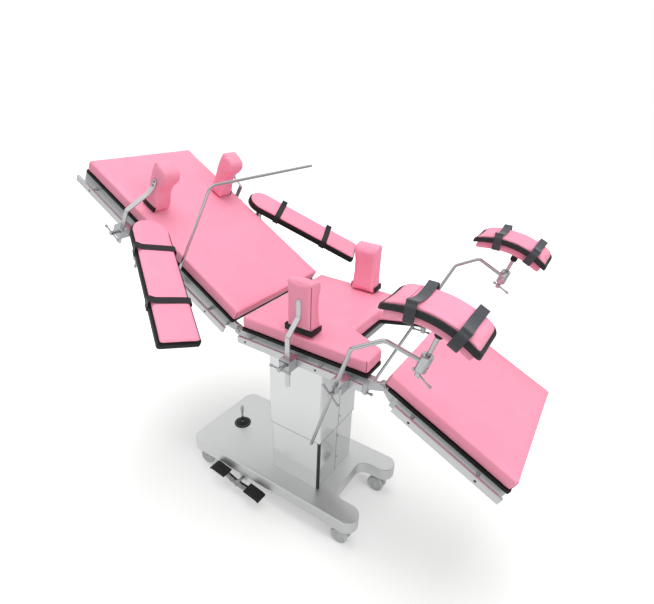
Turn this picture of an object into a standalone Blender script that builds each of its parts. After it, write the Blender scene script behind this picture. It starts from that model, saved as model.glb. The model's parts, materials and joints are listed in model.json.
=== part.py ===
"""Gynaecological examination table with its rail accessories: one closed solid per node."""

import math

import bmesh
import bpy
from mathutils import Matrix, Vector

# Overall placing: the column stands this far toward the foot end from the middle of the whole length
COLUMN_X = 0.0677
GAP = 0.0003

# Base, wheels and pedal
BASE_TOP = 0.160
BASE_UNDER = 0.105
BASE_HEAD = -0.5394
BASE_FOOT = 0.3241
BASE_HALF = 0.2087
BASE_SLOT_X = 0.1843
BASE_SLOT_HALF = 0.113
BASE_WALL = 0.003
WHEEL_R = 0.0375
HEAD_WHEEL_Y = BASE_HALF - 0.0587
FOOT_WHEEL_Y = (BASE_HALF + BASE_SLOT_HALF) / 2 - 0.00285
WHEEL_SPOTS = {
    "head_near": (BASE_HEAD + 0.0544, -HEAD_WHEEL_Y),
    "head_far": (BASE_HEAD + 0.0544, HEAD_WHEEL_Y),
    "foot_near": (BASE_FOOT - 0.0691, -FOOT_WHEEL_Y),
    "foot_far": (BASE_FOOT - 0.0691, FOOT_WHEEL_Y),
}
FORK_BORE = 0.0103
HUB_R = 0.0100
PEDAL_X = -0.232
PEDAL_Z = 0.075
PEDAL_TILT = math.radians(8.0)
PEDAL_BAR_IN = BASE_HALF + 0.0213
PEDAL_BAR_OUT = PEDAL_BAR_IN + 0.015
BEARING = 0.006
BEARING_OUT = BASE_HALF - 0.0122
BEARING_IN = BASE_HALF - 0.0787
TREAD_IN = BASE_HALF + 0.0038
TREAD_OUT = PEDAL_BAR_OUT + 0.019
STICK_X = -0.4095
STICK_Z = 0.168
STICK_BALL = STICK_Z - BASE_TOP - GAP
BOOT_BORE = STICK_BALL + 0.0006

# Column
COLUMN_HALF_X = 0.1234
COLUMN_HALF_Y = 0.135
COVER_WALL = 0.002
COVER_GAP = 0.0022
COVER_STEP = 0.405
LOWER_COVER_TOP = 0.585
RAM_R = 0.025
RAM_BARREL_TOP = 0.550
RAM_LOW = 0.395

# Table top: shared build-up, measured down from the cushions' top plane
SEAT_TOP = 0.933
HALF_WIDTH = 0.250
CUSHION = 0.048
BOARD = 0.010
FRAME_HIGH = 0.040
FRAME_DEEP = 0.028
FRAME_WALL = 0.003
PIVOT_DROP = 0.068
PIVOT_Z = SEAT_TOP - PIVOT_DROP
PIVOT_R = 0.006
PIVOT_BORE = 0.0061
EAR_OUT = HALF_WIDTH - 0.002
EAR_IN = EAR_OUT - 0.010
LUG_OUT = EAR_IN - 0.0015
LUG_IN = LUG_OUT - 0.010

# Seat
SEAT_HEAD = -0.1465
SEAT_FOOT = 0.350
CUT_X = 0.225
CUT_HALF = 0.0913
CUT_MOUTH = 0.1524
LOCK_X = SEAT_FOOT - 0.008
LOCK_Y = HALF_WIDTH - 0.014
LOCK_BOSS = 0.012

# Backrest, in its own frame: origin on the hinge axis, -X up the back, +Z out of the cushion
BACK_X = -0.169
BACK_TILT = math.radians(30.3)
BACK_TOP = PIVOT_DROP
BACK_ZERO = -0.0228
BACK_START = 0.009
BACK_END = 0.8665

# Leg plate, in its own frame: origin on the hinge axis, +X down the plate
LEG_X = 0.4015
LEG_TILT = math.radians(25.4)
LEG_TOP = PIVOT_DROP - 0.008
LEG_CUSHION = 0.0447
LEG_START = -0.006
LEG_END = 0.438

# Side rails, 25 x 10 mm
RAIL_IN = HALF_WIDTH + 0.020
RAIL_OUT = RAIL_IN + 0.010
RAIL_HIGH = 0.025
SEAT_RAIL_Z = SEAT_TOP - 0.0775
BACK_RAIL_Z = BACK_TOP - 0.0860
LEG_RAIL_Z = LEG_TOP - 0.0690
SPACER_R = 0.006

# Rail clamps
CLAMP_LONG = 0.042
CLAMP_HIGH = 0.040
CLAMP_PLAY = 0.0003
CLAMP_OUT = RAIL_OUT + 0.040
LIP_IN = RAIL_IN - 0.0045
TOMMY_R = 0.0032
TOMMY_KNOB_R = 0.0048
BAR_THICK = 0.005
BAR_WIDE = 0.018
BAR_Y = RAIL_OUT + 0.020

# Armboards, shoulder rests and screen, by distance up the back from BACK_ZERO
ARM_S = 0.420
ARM_Y = RAIL_OUT + 0.025
ARM_LONG = 0.480
ARM_HALF = 0.0665
ARM_TURN = math.radians(26.8)
ARM_LOW = 0.004
ARM_BOARD = 0.022
ARM_PAD = 0.010
STRAP = 0.0015
STRAP_WIDE = 0.025
ARM_STRAPS = (0.085, 0.320)
SHOULDER_S = 0.560
SHOULDER_PAD_OUT = HALF_WIDTH - 0.045
SHOULDER_PAD_IN = SHOULDER_PAD_OUT - 0.075
SCREEN_S = 0.265
SCREEN_Y = RAIL_OUT + 0.010
SCREEN_R = 0.005
SCREEN_ELBOW = 0.352
SCREEN_REACH = 0.535

# Hip supports
HIP_X = 0.093
HIP_PAD_X = (0.040, 0.142)
HIP_PAD_Z = (SEAT_TOP + 0.007, SEAT_TOP + 0.189)
HIP_PAD_OUT = HALF_WIDTH - 0.010
HIP_PAD_IN = HIP_PAD_OUT - 0.054

# Leg supports, given for the far side with no slide
KNEE_SHIFT = {-1: -0.008, 1: 0.012}
ROD_R = 0.0062
ROD_AIM = Vector((0.405, 0.325, 1.0)).normalized()
ROD_CLAMP = Vector((0.2940, RAIL_OUT + 0.044, SEAT_RAIL_Z + 0.0065))
ROD_BELOW = 0.407
ROD_ABOVE = 0.214
ROD_ELBOW = ROD_CLAMP + Vector((0.163, 0.051, 0.240))
SOCKET = ROD_CLAMP + Vector((0.262, 0.029, 0.201))
SOCKET_TILT = math.radians(16.5)
SOCKET_R = 0.0185
SOCKET_HIGH = 0.056
STEM_R = 0.0065
STEM_BORE = 0.00665
SADDLE_LONG = 0.272
SADDLE_WIDE = 0.136
SADDLE_BASE = 0.106
SADDLE_ARCH = 0.036
SADDLE_DIP = 0.009
SADDLE_LAYERS = {"skin": (0.0420, 0.0520), "tray": (0.0217, 0.0417), "under": (0.0, 0.0214)}

STEEL = (0.72, 0.73, 0.74)
PINK = (0.93, 0.38, 0.50)
BLACK = (0.013, 0.013, 0.014)


def clearScene():
    for thing in list(bpy.data.objects):
        bpy.data.objects.remove(thing, do_unlink=True)


def newCollection(name, hidden=False):
    group = bpy.data.collections.new(name)
    bpy.context.scene.collection.children.link(group)
    group.hide_render = hidden
    return group


def newMaterial(name, colour, roughness, metallic=0.0):
    material = bpy.data.materials.new(name)
    material.use_nodes = True
    shader = material.node_tree.nodes["Principled BSDF"]
    shader.inputs["Base Color"].default_value = (*colour, 1.0)
    shader.inputs["Roughness"].default_value = roughness
    shader.inputs["Metallic"].default_value = metallic
    return material


clearScene()
parts = newCollection("examination_table")
cutters = newCollection("cutters", hidden=True)
steel = newMaterial("brushed stainless steel", STEEL, 0.32, 1.0)
satin = newMaterial("satin stainless sheet", STEEL, 0.38, 1.0)
chrome = newMaterial("bright chrome plate", (0.82, 0.83, 0.84), 0.08, 1.0)
vinyl = newMaterial("pink upholstery vinyl", PINK, 0.45)
plastic = newMaterial("black moulded plastic", BLACK, 0.5)
rubber = newMaterial("black rubber", (0.018, 0.018, 0.018), 0.75)
webbing = newMaterial("charcoal webbing", (0.03, 0.03, 0.033), 0.8)


# Building tools


def frameAt(name, place, turn=0.0, parent=None, axis="Y"):
    empty = bpy.data.objects.new(name, None)
    empty.location = place
    empty.rotation_mode = "XYZ"
    setattr(empty.rotation_euler, axis.lower(), turn)
    empty.parent = parent
    parts.objects.link(empty)
    return empty


def newSolid(bm, name="solid"):
    bmesh.ops.recalc_face_normals(bm, faces=bm.faces)
    mesh = bpy.data.meshes.new(name)
    bm.to_mesh(mesh)
    bm.free()
    solid = bpy.data.objects.new(name, mesh)
    cutters.objects.link(solid)
    solid.display_type = "WIRE"
    return solid


def prism(outline, low, high, axis="z"):
    """Extrudes an outline along an axis; its two numbers are the other two coordinates in x, y, z order."""
    place = {
        "z": lambda u, v, w: (u, v, w),
        "y": lambda u, v, w: (u, w, v),
        "x": lambda u, v, w: (w, u, v),
    }[axis]
    bm = bmesh.new()
    face = bm.faces.new([bm.verts.new(place(u, v, low)) for u, v in outline])
    grown = bmesh.ops.extrude_face_region(bm, geom=[face])
    moved = [item for item in grown["geom"] if isinstance(item, bmesh.types.BMVert)]
    bmesh.ops.translate(bm, verts=moved, vec=Vector(place(0.0, 0.0, high - low)))
    return newSolid(bm)


def rectangle(low, high):
    return [(low[0], low[1]), (high[0], low[1]), (high[0], high[1]), (low[0], high[1])]


def block(low, high):
    return prism(rectangle(low[:2], high[:2]), low[2], high[2])


def rounded(corners, radii, steps=3):
    """Replaces each corner of an outline by an arc of its own radius."""
    outline = []
    count = len(corners)
    for i, corner in enumerate(corners):
        radius = radii[i] if isinstance(radii, (list, tuple)) else radii
        here = Vector(corner)
        if radius <= 0.0:
            outline.append(tuple(here))
            continue
        before = (Vector(corners[i - 1]) - here).normalized()
        after = (Vector(corners[(i + 1) % count]) - here).normalized()
        half = before.angle(after) / 2
        centre = here + (before + after).normalized() * (radius / math.sin(half))
        start = here + before * (radius / math.tan(half)) - centre
        sweep = math.pi - 2 * half
        sign = math.copysign(1.0, start.y * before.x - start.x * before.y)
        for step in range(steps + 1):
            spin = Matrix.Rotation(sign * sweep * step / steps, 2)
            outline.append(tuple(centre + spin @ start))
    return outline


def cylinder(radius, start, end, segments=16, tip=None):
    start, end = Vector(start), Vector(end)
    bm = bmesh.new()
    turn = Vector((0, 0, 1)).rotation_difference(end - start).to_matrix().to_4x4()
    bmesh.ops.create_cone(
        bm,
        cap_ends=True,
        segments=segments,
        radius1=radius,
        radius2=radius if tip is None else tip,
        depth=(end - start).length,
        matrix=Matrix.Translation((start + end) / 2) @ turn,
    )
    return newSolid(bm)


def ball(radius, centre, segments=12):
    bm = bmesh.new()
    bmesh.ops.create_uvsphere(
        bm,
        u_segments=segments,
        v_segments=segments // 2,
        radius=radius,
        matrix=Matrix.Translation(centre),
    )
    return newSolid(bm)


def bends(points, radius, steps=6):
    """Rounds the elbows of a bent bar's centre line."""
    points = [Vector(p) for p in points]
    line = [points[0]]
    for i in range(1, len(points) - 1):
        before = (points[i - 1] - points[i]).normalized()
        after = (points[i + 1] - points[i]).normalized()
        half = before.angle(after) / 2
        centre = points[i] + (before + after).normalized() * (radius / math.sin(half))
        start = points[i] + before * (radius / math.tan(half)) - centre
        axis = before.cross(start).normalized()
        for step in range(steps + 1):
            turn = Matrix.Rotation((math.pi - 2 * half) * step / steps, 3, axis)
            line.append(centre + turn @ start)
    line.append(points[-1])
    goal = points[-2] - points[-1]
    if (line[-2] - line[-1]).angle(goal) > math.radians(5):
        raise ValueError("a bend turned the wrong way")
    return line


def tube(points, radius, sides=4):
    curve = bpy.data.curves.new("tube", "CURVE")
    curve.dimensions = "3D"
    curve.bevel_depth = radius
    curve.bevel_resolution = sides
    curve.use_fill_caps = True
    spline = curve.splines.new("POLY")
    spline.points.add(len(points) - 1)
    for point, place in zip(spline.points, points):
        point.co = (*place, 1.0)
    holder = bpy.data.objects.new("tube", curve)
    cutters.objects.link(holder)
    mesh = bpy.data.meshes.new_from_object(holder)
    bpy.data.objects.remove(holder)
    bm = bmesh.new()
    bm.from_mesh(mesh)
    bmesh.ops.remove_doubles(bm, verts=bm.verts, dist=0.00001)
    return newSolid(bm)


def turned(profile, axis="z", segments=20):
    """Spins a closed (radius, height) profile, written from the top down, with a Screw modifier."""
    bm = bmesh.new()
    ring = [bm.verts.new((r, 0.0, h)) for r, h in profile]
    for i, vert in enumerate(ring[:-1]):
        bm.edges.new((vert, ring[i + 1]))
    mesh = bpy.data.meshes.new("turned")
    bm.to_mesh(mesh)
    bm.free()
    solid = bpy.data.objects.new("turned", mesh)
    cutters.objects.link(solid)
    screw = solid.modifiers.new("spin", "SCREW")
    screw.steps = segments
    screw.render_steps = segments
    screw.use_merge_vertices = True
    screw.merge_threshold = 0.00001
    bake(solid)
    if axis == "y":
        solid.data.transform(Matrix.Rotation(math.radians(90), 4, "X"))
    return solid


def bake(solid):
    bpy.context.view_layer.update()
    ready = solid.evaluated_get(bpy.context.evaluated_depsgraph_get())
    mesh = bpy.data.meshes.new_from_object(ready)
    solid.modifiers.clear()
    solid.data = mesh


def combine(solid, others, operation):
    for other in others:
        tool = solid.modifiers.new("tool", "BOOLEAN")
        tool.operation = operation
        tool.solver = "EXACT"
        tool.object = other
        bake(solid)
        bpy.data.objects.remove(other)
    return solid


def weld(solid, *others):
    return combine(solid, others, "UNION")


def cut(solid, *others):
    return combine(solid, others, "DIFFERENCE")


def common(solid, *others):
    return combine(solid, others, "INTERSECT")


def soften(solid, width, segments=2, angle=35.0):
    bevel = solid.modifiers.new("soften", "BEVEL")
    bevel.width = width
    bevel.segments = segments
    bevel.limit_method = "ANGLE"
    bevel.angle_limit = math.radians(angle)
    bake(solid)
    return solid


def turnedBy(solid, angle, axis, centre=(0.0, 0.0, 0.0)):
    shift = Matrix.Translation(centre)
    solid.data.transform(shift @ Matrix.Rotation(angle, 4, axis) @ shift.inverted())
    return solid


def moved(solid, shift):
    solid.data.transform(Matrix.Translation(shift))
    return solid


def mirrored(solid, side):
    """Leaves a far-side piece alone and turns it into its near-side twin for side -1."""
    if side < 0:
        solid.data.transform(Matrix.Scale(-1.0, 4, (0.0, 1.0, 0.0)))
        solid.data.flip_normals()
    return solid


def place(name, solid, material, parent, round_piece=False, origin=(0.0, 0.0, 0.0)):
    """Names a finished solid, gives it its material and hangs it on its frame, origin on its own axis."""
    origin = Vector(origin)
    solid.data.transform(Matrix.Translation(-origin))
    solid.location = origin
    solid.name = name
    solid.data.name = name
    solid.display_type = "TEXTURED"
    solid.parent = parent
    solid.data.materials.clear()
    solid.data.materials.append(material)
    for face in solid.data.polygons:
        face.use_smooth = round_piece
        face.material_index = 0
    cutters.objects.unlink(solid)
    parts.objects.link(solid)
    return solid


# Base, wheels, brake pedal and joystick


def baseOutline(inset):
    """The base plate seen from above: broad head end, two prongs round a slot at the foot end."""
    head, foot = BASE_HEAD + inset, BASE_FOOT - inset
    half, slot = BASE_HALF - inset, BASE_SLOT_HALF + inset
    inner = BASE_SLOT_X - inset
    corners = [
        (head, -half),
        (foot, -half),
        (foot, -slot),
        (inner, -slot),
        (inner, slot),
        (foot, slot),
        (foot, half),
        (head, half),
    ]
    prong = (half - slot) / 2 - 0.0008
    throat = 0.045 + inset
    radii = [0.045 - inset, prong, prong, throat, throat, prong, prong, 0.045 - inset]
    return rounded(corners, radii, 5)


def pedalBearing(y):
    """A plate hanging from the base's top, bored for the pedal's shaft; y is its outer face."""
    plate = prism(
        rounded(
            [
                (PEDAL_X - 0.020, 0.058),
                (PEDAL_X + 0.020, 0.058),
                (PEDAL_X + 0.020, BASE_TOP - 0.002),
                (PEDAL_X - 0.020, BASE_TOP - 0.002),
            ],
            [0.014, 0.014, 0.0, 0.0],
        ),
        y,
        y + BEARING,
        "y",
    )
    bore = cylinder(0.0083, (PEDAL_X, y - 0.01, PEDAL_Z), (PEDAL_X, y + 0.02, PEDAL_Z))
    return cut(plate, bore)


def buildBase(root):
    """The base cover with its caster cheeks, pedal bearings and the lift ram's barrel on it."""
    shell = soften(prism(baseOutline(0.0), BASE_UNDER, BASE_TOP), 0.003, 1, 60.0)
    hollow = prism(baseOutline(BASE_WALL), BASE_UNDER - 0.01, BASE_TOP - BASE_WALL)
    shell = cut(shell, hollow)
    shell = weld(shell, pedalBearing(-BEARING_OUT), pedalBearing(-BEARING_IN), ramBarrel())
    shell = weld(shell, *[casterCheek(*spot) for spot in WHEEL_SPOTS.values()])
    place("base_cover", shell, satin, root)
    for name, spot in WHEEL_SPOTS.items():
        place("wheel_" + name, buildWheel(*spot), rubber, root, True, (*spot, WHEEL_R))


def ramBarrel():
    barrel = cylinder(RAM_R + 0.009, (0, 0, BASE_TOP - 0.002), (0, 0, RAM_BARREL_TOP), 20)
    return cut(barrel, cylinder(RAM_R + 0.0006, (0, 0, BASE_TOP + 0.010), (0, 0, RAM_BARREL_TOP + 0.1), 20))


def casterCheek(x, y):
    """The centre cheek of a twin-wheel caster with its cap and the stem that goes up into the base."""
    foot, head = 0.016, 0.047
    corners = [(-foot, -foot), (foot, -foot), (0.020, head), (-0.020, head)]
    cheek = prism(rounded(corners, [0.014, 0.014, 0.0, 0.0]), -0.0060, 0.0060, "y")
    cheek = cut(cheek, cylinder(FORK_BORE, (0, -0.03, 0), (0, 0.03, 0)))
    cap = turned([(0, 0.052), (0.021, 0.052), (0.026, 0.048), (0.026, 0.044), (0, 0.044)], segments=14)
    stem = cylinder(0.009, (0, 0, 0.045), (0, 0, BASE_TOP - BASE_WALL / 2 - WHEEL_R), 10)
    return moved(weld(cheek, cap, stem), (x, y, WHEEL_R))


def buildWheel(x, y):
    half = [
        (0.0, 0.0270),
        (0.0330, 0.0270),
        (WHEEL_R, 0.0215),
        (WHEEL_R, 0.0115),
        (0.0350, 0.0080),
        (HUB_R, 0.0072),
    ]
    profile = half + [(r, -w) for r, w in reversed(half)]
    return moved(turned(profile, "y", 16), (x, y, WHEEL_R))


def buildPedal(root):
    """The wavy rocker that works the wheel brakes, on its shaft, with a ribbed tread at each end."""
    frame = frameAt("pedal_axis", (PEDAL_X, 0.0, PEDAL_Z), PEDAL_TILT, root)
    top = [(-0.135, 0.0150), (-0.062, 0.0150), (-0.040, 0.0), (-0.018, 0.0), (0.0, 0.0130)]
    top += [(0.018, 0.0), (0.040, 0.0), (0.062, 0.0150), (0.135, 0.0150)]
    low = [(x, z - (0.006 if abs(x) > 0.001 else 0.026)) for x, z in reversed(top)]
    bar = prism(rounded(top + low, 0.003, 2), -PEDAL_BAR_OUT, -PEDAL_BAR_IN, "y")
    shaft = cylinder(0.0080, (0, -PEDAL_BAR_OUT - 0.005, 0), (0, -BEARING_IN + 0.010, 0))
    rocker = weld(bar, shaft)
    for middle in (-0.0975, 0.0975):
        tread = block((middle - 0.041, -TREAD_OUT, 0.0145), (middle + 0.041, -TREAD_IN, 0.0235))
        tread = soften(tread, 0.0025, 1)
        for rib in range(5):
            x = middle + (rib - 2) * 0.014
            groove = block((x - 0.002, -TREAD_OUT + 0.005, 0.0222), (x + 0.002, -TREAD_IN - 0.005, 0.03))
            tread = cut(tread, groove)
        rocker = weld(rocker, tread)
    place("brake_rocker", rocker, rubber, frame)


def buildJoystick(root):
    boot = turned(
        [
            (BOOT_BORE, 0.0120),
            (0.0180, 0.0120),
            (0.0250, 0.0080),
            (0.0330, 0.0025),
            (0.0330, GAP),
            (BOOT_BORE, GAP),
            (BOOT_BORE, 0.0120),
        ],
        segments=24,
    )
    place("joystick_boot", moved(boot, (STICK_X, 0, BASE_TOP)), rubber, root, True)
    stick = turned(
        [(0, 0.094), (0.005, 0.0925), (0.0075, 0.086), (0.0075, 0.066), (0.0045, 0.060), (0.0045, 0.0), (0, 0.0)],
        segments=16,
    )
    stick = weld(stick, ball(STICK_BALL, (0, 0, 0)))
    frame = frameAt("joystick_axis", (STICK_X, 0.0, STICK_Z), 0.0, root)
    place("joystick", stick, chrome, frame, True)


# Column


def buildColumn(root):
    inner = COVER_WALL + COVER_GAP
    low = boxCover(inner, BASE_TOP + GAP, LOWER_COVER_TOP, BASE_TOP - 0.01, LOWER_COVER_TOP + 0.01)
    place("column_lower", low, satin, root)
    frame_under = SEAT_TOP - CUSHION - BOARD - FRAME_HIGH - 2 * GAP
    high = boxCover(0.0, COVER_STEP, frame_under - GAP, COVER_STEP - 0.01, frame_under - 0.005)
    seam = block((COLUMN_HALF_X - 0.0008, -0.0006, COVER_STEP - 0.01), (COLUMN_HALF_X + 0.01, 0.0006, frame_under))
    high = cut(high, seam)
    place("column_upper", high, satin, root)
    head = frame_under - 0.005 - GAP
    outline = [(0, head), (0.036, head), (0.036, head - 0.008), (RAM_R, head - 0.008)]
    ram = turned(outline + [(RAM_R, RAM_LOW), (0, RAM_LOW)])
    place("lift_ram", ram, chrome, root, True)


def boxCover(inset, low, high, hollow_low, hollow_high):
    """A folded sheet cover: a rounded box with a hollow right up to the given height."""
    x, y = COLUMN_HALF_X - inset, COLUMN_HALF_Y - inset
    shell = prism(rounded(rectangle((-x, -y), (x, y)), 0.009, 3), low, high)
    x, y = x - COVER_WALL, y - COVER_WALL
    hollow = prism(rounded(rectangle((-x, -y), (x, y)), 0.007, 3), hollow_low, hollow_high)
    return cut(shell, hollow)


# Table top


def channel(start, end, top):
    """One side bar of a section's frame: a C channel open toward the middle."""
    out, wall = HALF_WIDTH, FRAME_WALL
    inner = out - FRAME_DEEP
    low = top - FRAME_HIGH
    outline = [
        (out, low),
        (out, top),
        (inner, top),
        (inner, top - wall),
        (out - wall, top - wall),
        (out - wall, low + wall),
        (inner, low + wall),
        (inner, low),
    ]
    return prism(outline, start, end, "x")


def crossBar(x, wide, top):
    half = HALF_WIDTH - FRAME_WALL / 2
    return block((x - wide / 2, -half, top - 0.034), (x + wide / 2, half, top - 0.012))


def lug(reach, low, high, y_low, y_high, knee=0.020):
    """A hinge plate round the pivot, running toward a section's frame; reach is signed along X."""
    r = 0.0140
    side = math.copysign(1.0, reach)
    outline = [(side * knee, high), (reach, high), (reach, low), (side * 0.040, low)]
    arc = [(-side * r * math.sin(a), r * math.cos(a)) for a in [math.pi * (1 - i / 6) for i in range(7)]]
    return prism(outline + arc, y_low, y_high, "y")


def rail(start, end, height, spacers):
    """One side rail standing off its frame on welded spacers, with a countersunk screw over each."""
    low, high = height - RAIL_HIGH / 2, height + RAIL_HIGH / 2
    bar = block((start, RAIL_IN, low), (end, RAIL_OUT, high))
    bar = soften(bar, 0.0008, 1)
    for x in spacers:
        bar = weld(bar, cylinder(SPACER_R, (x, HALF_WIDTH + GAP, height), (x, RAIL_IN + 0.002, height), 12))
        bar = cut(bar, cylinder(0.0042, (x, RAIL_OUT - 0.0012, height), (x, RAIL_OUT + 0.01, height), 12))
    return bar


def rails(name, start, end, height, spacers, frame):
    for side_name, side in (("near", -1), ("far", 1)):
        one = mirrored(rail(start, end, height, spacers), side)
        place(f"{name}_{side_name}", one, steel, frame)


def seatOutline():
    return rounded(
        [
            (SEAT_HEAD, -HALF_WIDTH),
            (SEAT_FOOT, -HALF_WIDTH),
            (SEAT_FOOT, -CUT_MOUTH),
            (CUT_X, -CUT_HALF),
            (CUT_X, CUT_HALF),
            (SEAT_FOOT, CUT_MOUTH),
            (SEAT_FOOT, HALF_WIDTH),
            (SEAT_HEAD, HALF_WIDTH),
        ],
        0.006,
        2,
    )


def seatPin(x):
    shank = cylinder(PIVOT_R, (x, LUG_IN - 0.0015, PIVOT_Z), (x, EAR_OUT + 0.003, PIVOT_Z), 16)
    head = cylinder(0.0095, (x, EAR_OUT - 0.001, PIVOT_Z), (x, EAR_OUT + 0.004, PIVOT_Z), 12)
    return weld(shank, head)


def seatSide():
    """A seat side bar with its ears and hinge pins at both ends and the socket boss of the leg lock."""
    top = SEAT_TOP - CUSHION - BOARD - 2 * GAP
    side = channel(SEAT_HEAD - 0.0035, SEAT_FOOT + 0.004, top)
    under = top - FRAME_HIGH
    low, high = under + 0.0046 - PIVOT_Z, top - 0.0014 - PIVOT_Z
    head_ear = moved(lug(0.055, low, high, EAR_IN, EAR_OUT), (BACK_X, 0, PIVOT_Z))
    foot_ear = moved(lug(-0.075, low, high, EAR_IN, EAR_OUT), (LEG_X, 0, PIVOT_Z))
    inner = HALF_WIDTH - FRAME_DEEP + 0.0005
    arm = block((SEAT_FOOT - 0.020, inner, under + 0.0066), (SEAT_FOOT + 0.024, EAR_OUT + 0.0005, top + 0.002))
    arm = soften(arm, 0.002, 1)
    cover = block((SEAT_FOOT - 0.050, inner - 0.02, top - 0.001), (SEAT_FOOT + 0.0045, HALF_WIDTH + 0.01, top + 0.02))
    arm = cut(arm, cover)
    side = weld(side, arm, head_ear, foot_ear, seatPin(BACK_X), seatPin(LEG_X))
    boss = cylinder(0.0105, (LOCK_X, LOCK_Y, under - LOCK_BOSS), (LOCK_X, LOCK_Y, under + 0.002), 16)
    side = weld(side, boss)
    bore = cylinder(0.0063, (LOCK_X, LOCK_Y, under - 0.1), (LOCK_X, LOCK_Y, under + 0.0015), 16)
    return cut(side, bore)


def buildSeat(root):
    top = SEAT_TOP - CUSHION - BOARD - 2 * GAP
    near = mirrored(seatSide(), -1)
    frame = weld(
        crossBar(-0.100, 0.040, top),
        seatSide(),
        near,
        crossBar(0.100, 0.040, top),
        crossBar(0.200, 0.030, top),
    )
    plate = block((-0.112, -0.120, top - FRAME_HIGH), (0.112, 0.120, top - 0.030))
    frame = weld(frame, plate)
    place("seat_frame", frame, steel, root)
    board = prism(seatOutline(), SEAT_TOP - CUSHION - BOARD - GAP, SEAT_TOP - CUSHION - GAP)
    place("seat_board", board, plastic, root)
    cushion = prism(seatOutline(), SEAT_TOP - CUSHION, SEAT_TOP)
    place("seat_cushion", soften(cushion, 0.009, 2), vinyl, root)
    rails("seat_rail", SEAT_HEAD + 0.0065, SEAT_FOOT + 0.002, SEAT_RAIL_Z, (-0.105, 0.185), root)
    for name, side in (("near", -1), ("far", 1)):
        buildLegLock(name, side, top - FRAME_HIGH - LOCK_BOSS, root)


def buildLegLock(name, side, under, root):
    """The tommy screw under the seat's foot end that locks the leg plate."""
    screw = cylinder(0.0060, (0, 0, -0.0100), (0, 0, 0.0120), 12)
    hub = cylinder(0.0080, (0, 0, -0.0135), (0, 0, -0.0008), 12)
    screw = weld(screw, hub, tommyBar((0, 0, -0.0080), 0.040, 0.022))
    frame = frameAt("leg_lock_axis_" + name, (LOCK_X, side * LOCK_Y, under), 0.0, root)
    place("leg_lock_" + name, screw, chrome, frame, True)


def sectionFrame(start, end, top, lug_sign, knee, bars):
    """A backrest or leg frame: two channels, their hinge lugs and cross bars."""
    low, high = top - FRAME_HIGH + 0.0005, top - 0.0005

    def oneSide():
        side = channel(min(start, end), max(start, end), top)
        plate = lug(lug_sign * 0.085, low, high, LUG_IN, LUG_OUT, knee)
        bore = cylinder(PIVOT_BORE, (0, LUG_IN - 0.01, 0), (0, LUG_OUT + 0.01, 0), 24)
        return weld(side, cut(plate, bore))

    frame = weld(crossBar(bars[0], 0.030, top), oneSide(), mirrored(oneSide(), -1))
    for x in bars[1:]:
        frame = weld(frame, crossBar(x, 0.030, top))
    return frame


def slab(start, end, low, high, corner=0.006):
    outline = rounded(rectangle((start, -HALF_WIDTH), (end, HALF_WIDTH)), corner, 2)
    return prism(outline, low, high)


def onBack(s):
    return BACK_ZERO - s


def buildBack(back):
    start, end = onBack(BACK_END), onBack(BACK_START)
    cushion_low = BACK_TOP - CUSHION
    frame_top = cushion_low - BOARD - 2 * GAP
    bars = [onBack(s) for s in (0.045, 0.330, 0.600, BACK_END - 0.0215)]
    frame = sectionFrame(-0.050, onBack(BACK_END - 0.0045), frame_top, -1, 0.026, bars)
    place("back_frame", frame, steel, back)
    place("back_board", slab(start, end, cushion_low - BOARD - GAP, cushion_low - GAP), plastic, back)
    cushion = soften(slab(start, end, cushion_low, BACK_TOP), 0.009, 2)
    place("back_cushion", cushion, vinyl, back)
    spacers = [onBack(s) for s in (0.110, BACK_END - 0.0765)]
    rails("back_rail", onBack(BACK_END + 0.0055), onBack(0.012), BACK_RAIL_Z, spacers, back)


def buildLeg(leg):
    cushion_low = LEG_TOP - LEG_CUSHION
    frame_top = cushion_low - BOARD - 2 * GAP
    bars = [0.080, 0.250, LEG_END - 0.028]
    frame = sectionFrame(0.046, LEG_END - 0.006, frame_top, 1, 0.0155, bars)
    place("leg_frame", frame, steel, leg)
    board = slab(0.0165, LEG_END, cushion_low - BOARD - GAP, cushion_low - GAP)
    place("leg_board", board, plastic, leg)
    cushion = soften(slab(LEG_START, LEG_END, cushion_low, LEG_TOP), 0.009, 2)
    place("leg_cushion", cushion, vinyl, leg)
    rails("leg_rail", 0.062, LEG_END - 0.008, LEG_RAIL_Z, (0.120, LEG_END - 0.088), leg)


# Rail clamps and what they carry


def railClamp(x, height, outer, long=CLAMP_LONG):
    """A block that hooks round the rail and leaves the rail's spacers room behind it."""
    half = CLAMP_HIGH / 2
    hook = RAIL_HIGH / 2 + CLAMP_PLAY
    face, back = RAIL_OUT + CLAMP_PLAY, RAIL_IN - CLAMP_PLAY
    lip = 0.0085
    outline = [
        (outer, half),
        (LIP_IN, half),
        (LIP_IN, lip),
        (back, lip),
        (back, hook),
        (face, hook),
        (face, -hook),
        (back, -hook),
        (back, -lip),
        (LIP_IN, -lip),
        (LIP_IN, -half),
        (outer, -half),
    ]
    return moved(prism(outline, x - long / 2, x + long / 2, "x"), (0, 0, height))


def tommyBar(centre, back, ahead):
    """A thin bar along X with a knob at each end."""
    x, y, z = centre
    bar = cylinder(TOMMY_R, (x - back, y, z), (x + ahead, y, z), 8)
    for end in (x - back, x + ahead):
        bar = weld(bar, cylinder(TOMMY_KNOB_R, (end - 0.004, y, z), (end + 0.004, y, z), 10))
    return bar


def tommyScrew(x, y, z, turn):
    """A clamp's screw, pointing out along +Y, with its sliding bar."""
    screw = weld(
        cylinder(0.0055, (x, y - 0.004, z), (x, y + 0.022, z), 10),
        cylinder(0.0080, (x, y + 0.012, z), (x, y + 0.026, z), 12),
    )
    bar = tommyBar((x, y + 0.019, z), 0.036, 0.036)
    return weld(screw, turnedBy(bar, turn, "Y", (x, y + 0.019, z)))


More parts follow.
